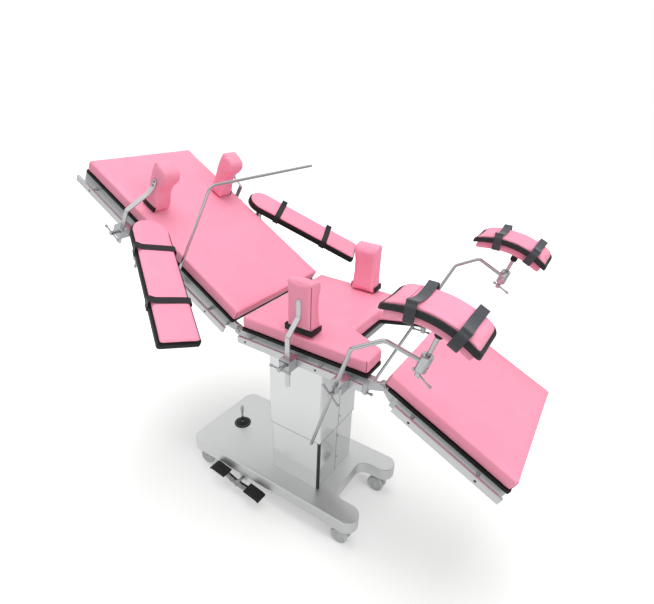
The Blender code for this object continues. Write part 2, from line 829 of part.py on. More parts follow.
def barClamp(x, height, turn):
    """The clamp of a flat bar: hooked block, slot for the bar, screw."""
    body = soften(railClamp(x, height, CLAMP_OUT), 0.0012, 1, 50.0)
    slot = block(
        (x - BAR_WIDE / 2 - CLAMP_PLAY, BAR_Y - BAR_THICK / 2 - CLAMP_PLAY, height - 0.05),
        (x + BAR_WIDE / 2 + CLAMP_PLAY, BAR_Y + BAR_THICK / 2 + CLAMP_PLAY, height + 0.05),
    )
    body = cut(body, slot)
    return weld(body, tommyScrew(x, CLAMP_OUT, height, turn))


def flatBar(line, x, wide=BAR_WIDE):
    """A bent flat bar: its centre line in the YZ plane, thickened to the bar's thickness and width."""
    points = bends([(0.0, y, z) for y, z in line], 0.012, 3)
    left, right = [], []
    for i, point in enumerate(points):
        ahead = points[min(i + 1, len(points) - 1)] - points[max(i - 1, 0)]
        side = Vector((0.0, -ahead.z, ahead.y)).normalized() * (BAR_THICK / 2)
        left.append((point.y + side.y, point.z + side.z))
        right.append((point.y - side.y, point.z - side.z))
    return prism(left + right[::-1], x - wide / 2, x + wide / 2, "x")


def buildArmboard(name, side, back):
    """A board on a swivelling post on the back rail, with its pad and two loops of webbing."""
    x = onBack(ARM_S)
    under = BACK_TOP + ARM_LOW
    bracket = soften(railClamp(x, BACK_RAIL_Z, CLAMP_OUT), 0.0012, 1, 50.0)
    post = cylinder(0.0110, (x, ARM_Y, BACK_RAIL_Z + 0.012), (x, ARM_Y, under - 0.006), 14)
    flange = cylinder(0.0210, (x, ARM_Y, under - 0.008), (x, ARM_Y, under - GAP), 20)
    pin = cylinder(0.0080, (x, ARM_Y, under - 0.001), (x, ARM_Y, under + 0.0150), 20)
    bracket = weld(bracket, post, flange, pin, tommyScrew(x, CLAMP_OUT, BACK_RAIL_Z, math.radians(80)))
    place("armboard_bracket_" + name, mirrored(bracket, side), chrome, back)

    frame = frameAt("armboard_axis_" + name, (x, side * ARM_Y, under), side * ARM_TURN, back, "Z")
    corner = 0.010
    outline = rounded(
        [(-ARM_HALF, -ARM_HALF), (ARM_LONG, -ARM_HALF), (ARM_LONG, ARM_HALF), (-ARM_HALF, ARM_HALF)],
        [ARM_HALF - 0.0005, corner, corner, ARM_HALF - 0.0005],
        7,
    )
    board = soften(prism(outline, 0.0, ARM_BOARD), 0.0020, 1, 50.0)
    board = cut(board, cylinder(0.0082, (0, 0, -0.01), (0, 0, 0.0155), 20))
    place("armboard_" + name, board, plastic, frame)
    inset = 0.002
    near, far = -ARM_HALF + inset, ARM_HALF - inset
    outline = rounded(
        [(near, near), (ARM_LONG - inset, near), (ARM_LONG - inset, far), (near, far)],
        [ARM_HALF - inset - 0.0005, corner, corner, ARM_HALF - inset - 0.0005],
        7,
    )
    pad = prism(outline, ARM_BOARD + GAP, ARM_BOARD + GAP + ARM_PAD)
    place("armboard_pad_" + name, soften(pad, 0.003, 1, 50.0), vinyl, frame)
    top = ARM_BOARD + GAP + ARM_PAD
    loops = [webLoop(at, ARM_HALF, 0.0, top) for at in ARM_STRAPS]
    start, end = (at for at in ARM_STRAPS)
    run = block((start, -STRAP_WIDE / 2, -GAP - STRAP), (end, STRAP_WIDE / 2, -GAP))
    place("armboard_straps_" + name, weld(run, *loops), webbing, frame)


def webLoop(at, half, low, high, wide=STRAP_WIDE, clear=GAP):
    """A flat strap round a board: a thin rounded ring in the YZ plane, extruded to the webbing's width."""
    near = rounded(rectangle((-half - clear, low - clear), (half + clear, high + clear)), 0.0006, 2)
    grow = clear + STRAP
    far = rounded(rectangle((-half - grow, low - grow), (half + grow, high + grow)), 0.0020, 2)
    ring = prism(far, at - wide / 2, at + wide / 2, "x")
    return cut(ring, prism(near, at - wide, at + wide, "x"))


def shoulderProfile(x, low):
    """The rest seen from the side: flat back, hollow waist and a rolled top that leans to the foot end."""
    foot, head = x + 0.031, x - 0.035
    return [
        (head, low),
        (foot, low),
        (foot + 0.001, low + 0.030),
        (foot - 0.007, low + 0.065),
        (foot - 0.009, low + 0.085),
        (foot - 0.003, low + 0.108),
        (foot + 0.006, low + 0.130),
        (foot + 0.009, low + 0.150),
        (foot + 0.004, low + 0.166),
        (foot - 0.010, low + 0.178),
        (head + 0.020, low + 0.186),
        (head + 0.006, low + 0.184),
        (head + 0.001, low + 0.172),
        (head - 0.001, low + 0.120),
        (head + 0.003, low + 0.060),
    ]


def buildShoulder(name, side, back):
    x = onBack(SHOULDER_S)
    clamp = barClamp(x, BACK_RAIL_Z, 0.12)
    place("shoulder_clamp_" + name, mirrored(clamp, side), chrome, back)
    deep = BACK_TOP - 0.150
    knee = BACK_TOP + 0.010
    line = [
        (BAR_Y, deep),
        (BAR_Y, knee),
        (SHOULDER_PAD_OUT + 0.020, BACK_TOP + 0.072),
        (SHOULDER_PAD_OUT + 0.0035, BACK_TOP + 0.100),
        (SHOULDER_PAD_OUT + 0.0035, BACK_TOP + 0.135),
    ]
    bar = mirrored(flatBar(line, x), side)
    place("shoulder_bar_" + name, bar, steel, back)
    pad = prism(shoulderProfile(x, BACK_TOP + 0.004), SHOULDER_PAD_IN, SHOULDER_PAD_OUT + 0.0007, "y")
    pad = soften(pad, 0.004, 1, 50.0)
    place("shoulder_pad_" + name, mirrored(pad, side), vinyl, back)


def hipProfile():
    """The pad seen from the foot end: upright back, slightly hollow front, rolled top."""
    low, high = HIP_PAD_Z
    inner, outer = HIP_PAD_IN, HIP_PAD_OUT
    return [
        (outer, low),
        (outer, high - 0.006),
        (outer - 0.006, high),
        (inner + 0.018, high - 0.003),
        (inner + 0.004, high - 0.012),
        (inner, high - 0.030),
        (inner + 0.004, high - 0.075),
        (inner + 0.003, high - 0.120),
        (inner - 0.004, low + 0.020),
        (inner - 0.006, low),
    ]


def buildHip(name, side, root):
    clamp = barClamp(HIP_X, SEAT_RAIL_Z, 0.06)
    place("hip_clamp_" + name, mirrored(clamp, side), chrome, root)
    lay = HIP_PAD_OUT + BAR_THICK / 2 + GAP
    low = HIP_PAD_Z[0]
    line = [(BAR_Y, low - 0.175), (BAR_Y, low + 0.012), (lay, low + 0.058), (lay, low + 0.122)]
    bar = flatBar(line, HIP_X)
    place("hip_bar_" + name, mirrored(bar, side), steel, root)
    pad = prism(hipProfile(), *HIP_PAD_X, "x")
    pad = soften(pad, 0.004, 1, 50.0)
    place("hip_pad_" + name, mirrored(pad, side), vinyl, root)


# Leg supports


def rodEnd(z):
    return ROD_CLAMP + ROD_AIM * ((z - ROD_CLAMP.z) / ROD_AIM.z)


def stemAim():
    return Vector((math.sin(SOCKET_TILT), 0.0, math.cos(SOCKET_TILT)))


def kneeRod():
    """The twice-bent rod, ending in a bored socket for the support's stem."""
    elbow = ROD_CLAMP + ROD_AIM * ROD_ABOVE
    line = bends([rodEnd(ROD_CLAMP.z - ROD_BELOW), elbow, ROD_ELBOW, SOCKET + (ROD_ELBOW - SOCKET).normalized() * 0.010], 0.022, 3)
    rod = tube(line, ROD_R, 2)
    half = stemAim() * (SOCKET_HIGH / 2)
    socket = soften(cylinder(SOCKET_R, SOCKET - half, SOCKET + half, 20), 0.002, 1, 50.0)
    rod = weld(socket, rod)
    return cut(rod, cylinder(STEM_BORE, SOCKET - half * 1.5, SOCKET + half * 1.5, 24))


def kneeClamp():
    """A hooked block with a collar along the leaning rod, and the screw that grips it."""
    body = soften(railClamp(ROD_CLAMP.x, SEAT_RAIL_Z, CLAMP_OUT), 0.0012, 1, 50.0)
    collar = cylinder(0.0150, ROD_CLAMP - ROD_AIM * 0.022, ROD_CLAMP + ROD_AIM * 0.022, 16)
    screw = tommyScrew(ROD_CLAMP.x, CLAMP_OUT + 0.010, SEAT_RAIL_Z - 0.0075, math.radians(45))
    body = weld(body, collar, screw)
    bore = cylinder(ROD_R + 0.0004, ROD_CLAMP - ROD_AIM * 0.06, ROD_CLAMP + ROD_AIM * 0.06, 16)
    return cut(body, bore)


def saddleHeight(u, v):
    """Arched along the leg, dished across it."""
    return -SADDLE_ARCH * (2 * u / SADDLE_LONG) ** 2 + SADDLE_DIP * (2 * v / SADDLE_WIDE) ** 2


def saddleSheet(low, high, grow, dish=1.0):
    """A bent slab between two heights, trimmed to the support's rounded outline."""
    bm = bmesh.new()
    bmesh.ops.create_grid(bm, x_segments=8, y_segments=3, size=0.5)
    for vert in bm.verts:
        vert.co.x *= SADDLE_LONG * 1.15
        vert.co.y *= SADDLE_WIDE * 1.3
    grown = bmesh.ops.extrude_face_region(bm, geom=bm.faces[:])
    top = {item for item in grown["geom"] if isinstance(item, bmesh.types.BMVert)}
    for vert in bm.verts:
        bend = saddleHeight(vert.co.x, vert.co.y if vert in top else vert.co.y * dish)
        vert.co.z = bend + (high if vert in top else low)
    sheet = newSolid(bm)
    u, v = SADDLE_LONG / 2 + grow, SADDLE_WIDE / 2 + grow
    trim = prism(rounded(rectangle((-u, -v), (u, v)), 0.032, 4), -0.2, 0.2)
    return common(sheet, trim)


def buildKnee(name, side, root):
    shift = Vector((KNEE_SHIFT[side], 0.0, 0.0))
    place("leg_clamp_" + name, mirrored(moved(kneeClamp(), shift), side), chrome, root)
    spot = ROD_CLAMP + shift
    spot.y *= side
    place("leg_rod_" + name, mirrored(moved(kneeRod(), shift), side), chrome, root, True, spot)
    spot = SOCKET + shift
    spot.y *= side
    stem = frameAt("leg_socket_" + name, spot, SOCKET_TILT, root)
    buildSocketScrew(name, stem)
    buildSaddle(name, stem)


def buildSocketScrew(name, stem):
    """The tommy screw that comes up into the socket from below."""
    under = -SOCKET_HIGH / 2
    screw = weld(
        cylinder(STEM_R - 0.0002, (0, 0, under - 0.012), (0, 0, under + 0.020), 12),
        cylinder(0.0078, (0, 0, under - 0.022), (0, 0, under - 0.006), 12),
    )
    bar = tommyBar((0, 0, under - 0.014), 0.018, 0.044)
    bar = turnedBy(bar, math.radians(-25), "Z")
    place("leg_screw_" + name, weld(screw, bar), chrome, stem, True)


def saddleStem(under):
    """The chromed stem with its black cap, from inside the pad down into the socket."""
    return turned(
        [
            (0, under + 0.012),
            (0.0115, under + 0.012),
            (0.0115, under - 0.022),
            (STEM_R, under - 0.026),
            (STEM_R, -SOCKET_HIGH / 2 + 0.034),
            (0.0055, -SOCKET_HIGH / 2 + 0.032),
            (0.0055, -SOCKET_HIGH / 2 + 0.022),
            (0, -SOCKET_HIGH / 2 + 0.022),
        ],
        segments=20,
    )


def saddleStraps(low, high):
    """Two loops that follow the arch, sewn to the edge band."""
    loops = []
    for at in (-0.068, 0.078):
        slope = math.atan2(2 * SADDLE_ARCH * at * (2 / SADDLE_LONG) ** 2, 1.0)
        base, rim = saddleHeight(at, 0.0), saddleHeight(at, SADDLE_WIDE / 2)
        loop = webLoop(0.0, SADDLE_WIDE / 2 + 0.0010, base + low - 0.0012, rim + high + 0.0006)
        loops.append(moved(turnedBy(loop, slope, "Y", (0.0, 0.0, base + (low + high) / 2)), (at, 0, 0)))
    return loops


def buildSaddle(name, stem):
    """Padding with its stem, the black band let in round its edge, and two straps."""
    under, top = SADDLE_LAYERS["under"], SADDLE_LAYERS["skin"]
    low, high = SADDLE_LAYERS["tray"]
    raised = (0, 0, SADDLE_BASE)
    pad = soften(saddleSheet(*top, 0.0), 0.003, 1, 55.0)
    core = saddleSheet(low - 0.0012, high + 0.0012, -0.0063)
    pad = weld(pad, core, saddleSheet(*under, -0.0010, 0.4))
    pad = weld(moved(pad, raised), saddleStem(SADDLE_BASE))
    place("leg_pad_" + name, pad, vinyl, stem)
    band = cut(saddleSheet(low, high, 0.0020), saddleSheet(low - 0.01, high + 0.01, -0.0060))
    band = weld(band, *saddleStraps(under[0], top[1]))
    place("leg_band_" + name, moved(band, raised), webbing, stem)


# Screen


def buildScreen(back):
    """The bent rod that holds a drape over the patient, in its clamp on the near back rail."""
    x = onBack(SCREEN_S)
    outer = CLAMP_OUT - 0.010
    body = soften(railClamp(x, BACK_RAIL_Z, outer, 0.032), 0.0012, 1, 50.0)
    body = weld(body, tommyScrew(x, outer, BACK_RAIL_Z, math.radians(-70)))
    body = cut(body, cylinder(SCREEN_R + 0.0004, (x, SCREEN_Y, -0.2), (x, SCREEN_Y, 0.2), 16))
    place("screen_clamp", mirrored(body, -1), chrome, back)
    top = BACK_TOP + SCREEN_ELBOW
    line = bends([(x, SCREEN_Y, BACK_RAIL_Z - 0.040), (x, SCREEN_Y, top), (x, SCREEN_Y - SCREEN_REACH, top)], 0.020, 5)
    rod = tube(line, SCREEN_R, 2)
    place("screen_rod", mirrored(rod, -1), chrome, back, True, (x, -SCREEN_Y, BACK_RAIL_Z))


def buildTable():
    root = frameAt("table", (COLUMN_X, 0.0, 0.0))
    back = frameAt("back_hinge", (BACK_X, 0.0, PIVOT_Z), BACK_TILT, root)
    leg = frameAt("leg_hinge", (LEG_X, 0.0, PIVOT_Z), LEG_TILT, root)
    buildBase(root)
    buildPedal(root)
    buildJoystick(root)
    buildColumn(root)
    buildSeat(root)
    buildBack(back)
    buildLeg(leg)
    for name, side in (("near", -1), ("far", 1)):
        buildArmboard(name, side, back)
        buildShoulder(name, side, back)
        buildHip(name, side, root)
        buildKnee(name, side, root)
    buildScreen(back)


buildTable()
bpy.data.collections.remove(cutters)
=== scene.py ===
import bmesh
import bpy
import json
import math
from mathutils import Matrix, Vector, noise


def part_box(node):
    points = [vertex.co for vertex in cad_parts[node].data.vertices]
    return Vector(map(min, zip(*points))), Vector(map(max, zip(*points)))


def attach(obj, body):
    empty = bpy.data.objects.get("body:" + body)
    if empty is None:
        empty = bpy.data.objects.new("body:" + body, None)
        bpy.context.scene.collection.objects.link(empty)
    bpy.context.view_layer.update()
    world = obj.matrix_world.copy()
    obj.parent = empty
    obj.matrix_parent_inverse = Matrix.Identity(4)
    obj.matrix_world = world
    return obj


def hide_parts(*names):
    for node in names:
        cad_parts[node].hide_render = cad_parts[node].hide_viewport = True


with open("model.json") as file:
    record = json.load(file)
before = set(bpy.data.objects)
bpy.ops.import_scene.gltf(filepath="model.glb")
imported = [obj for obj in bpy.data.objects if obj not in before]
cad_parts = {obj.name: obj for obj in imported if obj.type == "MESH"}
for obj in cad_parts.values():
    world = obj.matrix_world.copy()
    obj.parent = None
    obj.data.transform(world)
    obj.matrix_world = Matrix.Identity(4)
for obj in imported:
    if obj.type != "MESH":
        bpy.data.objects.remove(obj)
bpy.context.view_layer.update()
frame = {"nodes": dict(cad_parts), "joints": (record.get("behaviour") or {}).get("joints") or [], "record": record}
joints = {joint["name"]: joint for joint in frame["joints"]}
mounts = {mount["name"]: mount for mount in frame["record"]["mounts"]}
sides = {"near": -1, "far": 1}
casters = ("wheel_head_near", "wheel_head_far", "wheel_foot_near", "wheel_foot_far")
hair = 0.0003    # the gap that touching pieces keep
print("frame loaded")


# The three sections of the top, each with its own upright frame

def sectionMatrix(origin, normal):
    up = Vector(normal).normalized()
    across = Vector((0, 1, 0))
    along = across.cross(up)
    turned = Matrix((along, across, up)).transposed().to_4x4()
    return Matrix.Translation(Vector(origin)) @ turned


columnX = (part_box("column_upper")[0].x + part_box("column_upper")[1].x) / 2
seatFrame = Matrix.Translation((columnX, 0, 0))
backFrame = sectionMatrix(joints["back_tilt"]["pos_m"], mounts["back_top"]["axis"])
legFrame = sectionMatrix(joints["leg_tilt"]["pos_m"], mounts["leg_top"]["axis"])
backZero = -0.0228    # where the distances up the back are measured from


def onBack(distance):
    return backZero - distance


# Mesh tools

def turnBy(degrees, axis):
    return Matrix.Rotation(math.radians(degrees), 4, axis)


def makeObject(name, bm):
    bmesh.ops.recalc_face_normals(bm, faces=bm.faces)
    mesh = bpy.data.meshes.new(name)
    bm.to_mesh(mesh)
    bm.free()
    piece = bpy.data.objects.new(name, mesh)
    bpy.context.scene.collection.objects.link(piece)
    return piece


def roundedOutline(corners, radii, steps=8):
    line = []
    for i, corner in enumerate(corners):
        radius = radii[i] if isinstance(radii, (list, tuple)) else radii
        if radius <= 0:
            line.append(tuple(corner))
            continue
        here = Vector(corner)
        before = (Vector(corners[i - 1]) - here).normalized()
        after = (Vector(corners[(i + 1) % len(corners)]) - here).normalized()
        half = before.angle(after) / 2
        centre = here + (before + after).normalized() * (radius / math.sin(half))
        start = here + before * (radius / math.tan(half)) - centre
        sign = math.copysign(1.0, start.y * before.x - start.x * before.y)
        for step in range(steps + 1):
            spin = Matrix.Rotation(sign * (math.pi - 2 * half) * step / steps, 2)
            line.append(tuple(centre + spin @ start))
    return line


def rectangleOf(low, high):
    return [(low[0], low[1]), (high[0], low[1]), (high[0], high[1]), (low[0], high[1])]


def prismOf(name, outline, low, high, axis="z"):
    places = {
        "z": lambda u, v, w: (u, v, w),
        "y": lambda u, v, w: (u, w, v),
        "x": lambda u, v, w: (w, u, v),
    }
    put = places[axis]
    bm = bmesh.new()
    face = bm.faces.new([bm.verts.new(put(u, v, low)) for u, v in outline])
    grown = bmesh.ops.extrude_face_region(bm, geom=[face])
    lifted = [item for item in grown["geom"] if isinstance(item, bmesh.types.BMVert)]
    bmesh.ops.translate(bm, verts=lifted, vec=Vector(put(0.0, 0.0, high - low)))
    return makeObject(name, bm)


def applyModifiers(piece):
    bpy.context.view_layer.update()
    ready = piece.evaluated_get(bpy.context.evaluated_depsgraph_get())
    mesh = bpy.data.meshes.new_from_object(ready)
    piece.modifiers.clear()
    piece.data = mesh
    return piece


def bevelEdges(piece, width, segments=3, angle=40.0):
    bevel = piece.modifiers.new("bevel", "BEVEL")
    bevel.width = width
    bevel.segments = segments
    bevel.limit_method = "ANGLE"
    bevel.angle_limit = math.radians(angle)
    bevel.harden_normals = False
    return applyModifiers(piece)


def cutAway(piece, other):
    tool = piece.modifiers.new("tool", "BOOLEAN")
    tool.operation = "DIFFERENCE"
    tool.solver = "EXACT"
    tool.object = other
    applyModifiers(piece)
    bpy.data.objects.remove(other)
    return piece


def joinPieces(name, pieces):
    bm = bmesh.new()
    for piece in pieces:
        bm.from_mesh(piece.data)
        bpy.data.objects.remove(piece)
    return makeObject(name, bm)


def turnedPiece(name, profile, steps=48):
    bm = bmesh.new()
    ring = [bm.verts.new((radius, 0.0, height)) for radius, height in profile]
    for first, second in zip(ring, ring[1:]):
        bm.edges.new((first, second))
    piece = makeObject(name, bm)
    screw = piece.modifiers.new("turn", "SCREW")
    screw.steps = steps
    screw.render_steps = steps
    screw.use_merge_vertices = True
    screw.merge_threshold = 0.00001
    return applyModifiers(piece)


def rodBetween(name, start, end, radius, segments=24):
    start, end = Vector(start), Vector(end)
    bm = bmesh.new()
    turn = Vector((0, 0, 1)).rotation_difference(end - start).to_matrix().to_4x4()
    middle = Matrix.Translation((start + end) / 2) @ turn
    bmesh.ops.create_cone(
        bm, cap_ends=True, segments=segments, radius1=radius, radius2=radius, depth=(end - start).length, matrix=middle
    )
    return makeObject(name, bm)


def bentLine(points, radius, steps=10):
    points = [Vector(point) for point in points]
    line = [points[0]]
    for before, corner, after in zip(points, points[1:], points[2:]):
        back = (before - corner).normalized()
        ahead = (after - corner).normalized()
        half = back.angle(ahead) / 2
        centre = corner + (back + ahead).normalized() * (radius / math.sin(half))
        start = corner + back * (radius / math.tan(half)) - centre
        axis = back.cross(start).normalized()
        for step in range(steps + 1):
            line.append(centre + Matrix.Rotation((math.pi - 2 * half) * step / steps, 3, axis) @ start)
    line.append(points[-1])
    return line


def tubeAlong(name, points, radius, resolution=5):
    curve = bpy.data.curves.new(name, "CURVE")
    curve.dimensions = "3D"
    curve.bevel_depth = radius
    curve.bevel_resolution = resolution
    curve.use_fill_caps = True
    spline = curve.splines.new("POLY")
    spline.points.add(len(points) - 1)
    for point, place in zip(spline.points, points):
        point.co = (*place, 1.0)
    holder = bpy.data.objects.new(name, curve)
    bpy.context.scene.collection.objects.link(holder)
    bpy.context.view_layer.update()
    mesh = bpy.data.meshes.new_from_object(holder.evaluated_get(bpy.context.evaluated_depsgraph_get()))
    bpy.data.objects.remove(holder)
    bm = bmesh.new()
    bm.from_mesh(mesh)
    bmesh.ops.remove_doubles(bm, verts=bm.verts, dist=0.00001)
    return makeObject(name, bm)


def ribbonAlong(name, points, across, widths, thick, closed=False):    # across gives the width's direction
    points = [Vector(point) for point in points]
    across = Vector(across).normalized()
    if not isinstance(widths, (list, tuple)):
        widths = [widths] * len(points)
    bm = bmesh.new()
    rings = []
    count = len(points)
    for i, point in enumerate(points):
        before, after = (i - 1, (i + 1) % count) if closed else (max(i - 1, 0), min(i + 1, count - 1))
        ahead = points[after] - points[before]
        out = across.cross(ahead).normalized() * (thick / 2)
        wide = across * (widths[i] / 2)
        sections = ((-wide, -out), (wide, -out), (wide, out), (-wide, out))
        rings.append([bm.verts.new(point + u + v) for u, v in sections])
    pairs = list(zip(rings, rings[1:])) + ([(rings[-1], rings[0])] if closed else [])
    for first, second in pairs:
        for k in range(4):
            bm.faces.new((first[k], first[(k + 1) % 4], second[(k + 1) % 4], second[k]))
    if not closed:
        bm.faces.new(rings[0])
        bm.faces.new(rings[-1])
    return makeObject(name, bm)


def smoothPiece(piece, angle=35.0):
    piece.data.shade_smooth()
    piece.data.set_sharp_from_angle(angle=math.radians(angle))
    return piece


def carry(piece, matrix):
    piece.data.transform(matrix)
    if matrix.determinant() < 0:
        piece.data.flip_normals()
    return piece


def fit(piece, material, body, nodes=(), angle=35.0):
    smoothPiece(piece, angle)
    piece.data.materials.clear()
    piece.data.materials.append(material)
    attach(piece, body)
    if nodes:
        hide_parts(*nodes)
    return piece


# Materials

def hexColour(text):
    values = [int(text[i:i + 2], 16) / 255 for i in (1, 3, 5)]
    return tuple(v / 12.92 if v <= 0.04045 else ((v + 0.055) / 1.055) ** 2.4 for v in values) + (1.0,)


def addNode(material, kind, values=None, links=None):
    made = material.node_tree.nodes.new("ShaderNode" + kind)
    for key, value in (values or {}).items():
        if isinstance(key, str) and hasattr(made, key):
            setattr(made, key, value)
        else:
            made.inputs[key].default_value = value
    for key, source in (links or {}).items():
        material.node_tree.links.new(source, made.inputs[key])
    return made


def spanOf(low, high, start=0.0, end=1.0):    # settings of a Map Range: what comes out, and between which ends
    return {"From Min": start, "From Max": end, "To Min": low, "To Max": high}


def shadesOf(first, second):    # settings of a Mix between two colours
    return {"data_type": "RGBA", 6: hexColour(first), 7: hexColour(second)}


def startMaterial(name, colour, roughness, metallic=0.0, **more):
    material = bpy.data.materials.new(name)
    material.use_nodes = True
    shader = material.node_tree.nodes["Principled BSDF"]
    shader.inputs["Base Color"].default_value = hexColour(colour)
    shader.inputs["Roughness"].default_value = roughness
    shader.inputs["Metallic"].default_value = metallic
    for key, value in more.items():
        shader.inputs[key.replace("_", " ")].default_value = value
    return material, shader


def feed(material, shader, **sources):
    for key, source in sources.items():
        material.node_tree.links.new(source, shader.inputs[key.replace("_", " ")])


def colourDrift(material, light, dark, size, detail=3.0):    # size in mm
    place = addNode(material, "TexCoord")
    cloud = addNode(material, "TexNoise", {"Scale": 1000 / size, "Detail": detail},
        {"Vector": place.outputs["Object"]})
    return addNode(material, "Mix", shadesOf(light, dark), {0: cloud.outputs["Fac"]}), place


def makeUpholstery():
    # Polyurethane-coated upholstery, calendered: an even satin skin with a faint pebble grain
    material, shader = startMaterial("polyurethane upholstery calendered", "#F99DB7", 0.42, IOR=1.48)
    drift, place = colourDrift(material, "#FBA1BA", "#F797B2", 90)
    # The pebbles are drawn 2.2 mm wide, coarser than the real 0.8 mm, so that they show
    grain = addNode(material, "TexVoronoi", {"Scale": 1000 / 2.2}, {"Vector": place.outputs["Object"]})
    slack = addNode(material, "TexNoise", {"Scale": 1000 / 60, "Detail": 2.0}, {"Vector": place.outputs["Object"]})
    fine = addNode(material, "Bump", {"Strength": 0.10, "Distance": 0.0003}, {"Height": grain.outputs["Distance"]})
    broad = addNode(material, "Bump", {"Strength": 0.18, "Distance": 0.003},
        {"Height": slack.outputs["Fac"], "Normal": fine.outputs["Normal"]})
    gloss = addNode(material, "MapRange", spanOf(0.36, 0.48), {"Value": slack.outputs["Fac"]})
    feed(material, shader, Base_Color=drift.outputs[2], Normal=broad.outputs["Normal"],
        Roughness=gloss.outputs["Result"])
    return material


def makeBrushedSheet(name, colour, roughness, streak, bevel=0.0):
    # Stainless sheet, brushed along its length: soft long reflections broken by hairlines
    material, shader = startMaterial(name, colour, roughness, 1.0)
    place = addNode(material, "TexCoord")
    stretch = addNode(material, "Mapping", {"Scale": (12, 1000 / 1.2, 1000 / 1.2)},
        {"Vector": place.outputs["Object"]})
    hairline = addNode(material, "TexNoise", {"Scale": 1.0, "Detail": 4.0}, {"Vector": stretch.outputs["Vector"]})
    gloss = addNode(material, "MapRange", spanOf(roughness - streak, roughness + streak),
        {"Value": hairline.outputs["Fac"]})
    groove = addNode(material, "Bump", {"Strength": 0.05, "Distance": 0.0002}, {"Height": hairline.outputs["Fac"]})
    if bevel:
        edge = addNode(material, "Bevel", {"samples": 4, "Radius": bevel})
        material.node_tree.links.new(edge.outputs["Normal"], groove.inputs["Normal"])
    feed(material, shader, Roughness=gloss.outputs["Result"], Normal=groove.outputs["Normal"])
    return material


def makeChrome(name, colour, roughness, bevel=0.0):
    # Chrome plate on turned and cast steel: near-mirror, with faint unevenness from the metal beneath
    material, shader = startMaterial(name, colour, roughness, 1.0)
    place = addNode(material, "TexCoord")
    waves = addNode(material, "TexNoise", {"Scale": 1000 / 14, "Detail": 3.0}, {"Vector": place.outputs["Object"]})
    gloss = addNode(material, "MapRange", spanOf(roughness * 0.7, roughness * 1.6), {"Value": waves.outputs["Fac"]})
    swell = addNode(material, "Bump", {"Strength": 0.06, "Distance": 0.0006}, {"Height": waves.outputs["Fac"]})
    if bevel:
        edge = addNode(material, "Bevel", {"samples": 4, "Radius": bevel})
        material.node_tree.links.new(edge.outputs["Normal"], swell.inputs["Normal"])
    feed(material, shader, Roughness=gloss.outputs["Result"], Normal=swell.outputs["Normal"])
    return material


def makeBoardPlastic():
    # Black ABS board, moulded: deep matte with a spark-eroded grain
    material, shader = startMaterial("ABS board moulded", "#0E0E10", 0.5, IOR=1.52, Specular_IOR_Level=0.35)
    place = addNode(material, "TexCoord")
    grain = addNode(material, "TexNoise", {"Scale": 1000 / 1.5, "Detail": 2.0}, {"Vector": place.outputs["Object"]})
    gloss = addNode(material, "MapRange", spanOf(0.42, 0.6), {"Value": grain.outputs["Fac"]})
    pits = addNode(material, "Bump", {"Strength": 0.15, "Distance": 0.0003}, {"Height": grain.outputs["Fac"]})
    feed(material, shader, Roughness=gloss.outputs["Result"], Normal=pits.outputs["Normal"])
    return material


def makeRubber(name, colour, bloom, roughness):
    # Rubber, thermoplastic or nylon, moulded: dull, with a little bloom or scuffing and fine pores
    material, shader = startMaterial(name, colour, roughness, IOR=1.5)
    drift, place = colourDrift(material, colour, bloom, 25)
    pores = addNode(material, "TexNoise", {"Scale": 1000 / 1.2, "Detail": 3.0}, {"Vector": place.outputs["Object"]})
    skin = addNode(material, "Bump", {"Strength": 0.2, "Distance": 0.0003}, {"Height": pores.outputs["Fac"]})
    feed(material, shader, Base_Color=drift.outputs[2], Normal=skin.outputs["Normal"])
    return material


def makeWebbing(name, low, high, sheen):
    # Webbing, plain woven: a grey sheen over dark threads, drawn 2.4 mm apart so that they show
    material, shader = startMaterial(name, low, 0.62, IOR=1.49, Sheen_Weight=sheen, Sheen_Roughness=0.4)
    place = addNode(material, "TexCoord")
    threads = {"Scale": 1000 / 2.4 / 6.2832, "Distortion": 0.3}
    warp = addNode(material, "TexWave", threads, {"Vector": place.outputs["Object"]})
    weft = addNode(material, "TexWave", {"bands_direction": "Y", **threads}, {"Vector": place.outputs["Object"]})
    cross = addNode(material, "Math", {"operation": "MULTIPLY"}, {0: warp.outputs["Fac"], 1: weft.outputs["Fac"]})
    shade = addNode(material, "Mix", shadesOf(low, high), {0: cross.outputs["Value"]})
    rib = addNode(material, "Bump", {"Strength": 0.5, "Distance": 0.0004}, {"Height": cross.outputs["Value"]})
    feed(material, shader, Base_Color=shade.outputs[2], Normal=rib.outputs["Normal"])
    return material


def makeSeam():
    # Folded and sewn seam: the upholstery's pink in shade, stitches 4 mm apart as darker dots
    material, shader = startMaterial("upholstery seam folded and sewn", "#A34262", 0.55, IOR=1.48)
    place = addNode(material, "TexCoord")
    stitch = addNode(material, "TexNoise", {"Scale": 1000 / 4, "Detail": 1.0}, {"Vector": place.outputs["Object"]})
    shade = addNode(material, "Mix", shadesOf("#8E3452", "#B85373"), {0: stitch.outputs["Fac"]})
    twist = addNode(material, "Bump", {"Strength": 0.4, "Distance": 0.0003}, {"Height": stitch.outputs["Fac"]})
    feed(material, shader, Base_Color=shade.outputs[2], Normal=twist.outputs["Normal"])
    return material


def makePaint(name, colour, roughness):
    # Powder coat, sprayed and baked: even colour with a light orange peel
    material, shader = startMaterial(name, colour, roughness, IOR=1.5)
    place = addNode(material, "TexCoord")
    peel = addNode(material, "TexNoise", {"Scale": 1000 / 3, "Detail": 1.0}, {"Vector": place.outputs["Object"]})
    skin = addNode(material, "Bump", {"Strength": 0.1, "Distance": 0.0004}, {"Height": peel.outputs["Fac"]})
    feed(material, shader, Normal=skin.outputs["Normal"])
    return material


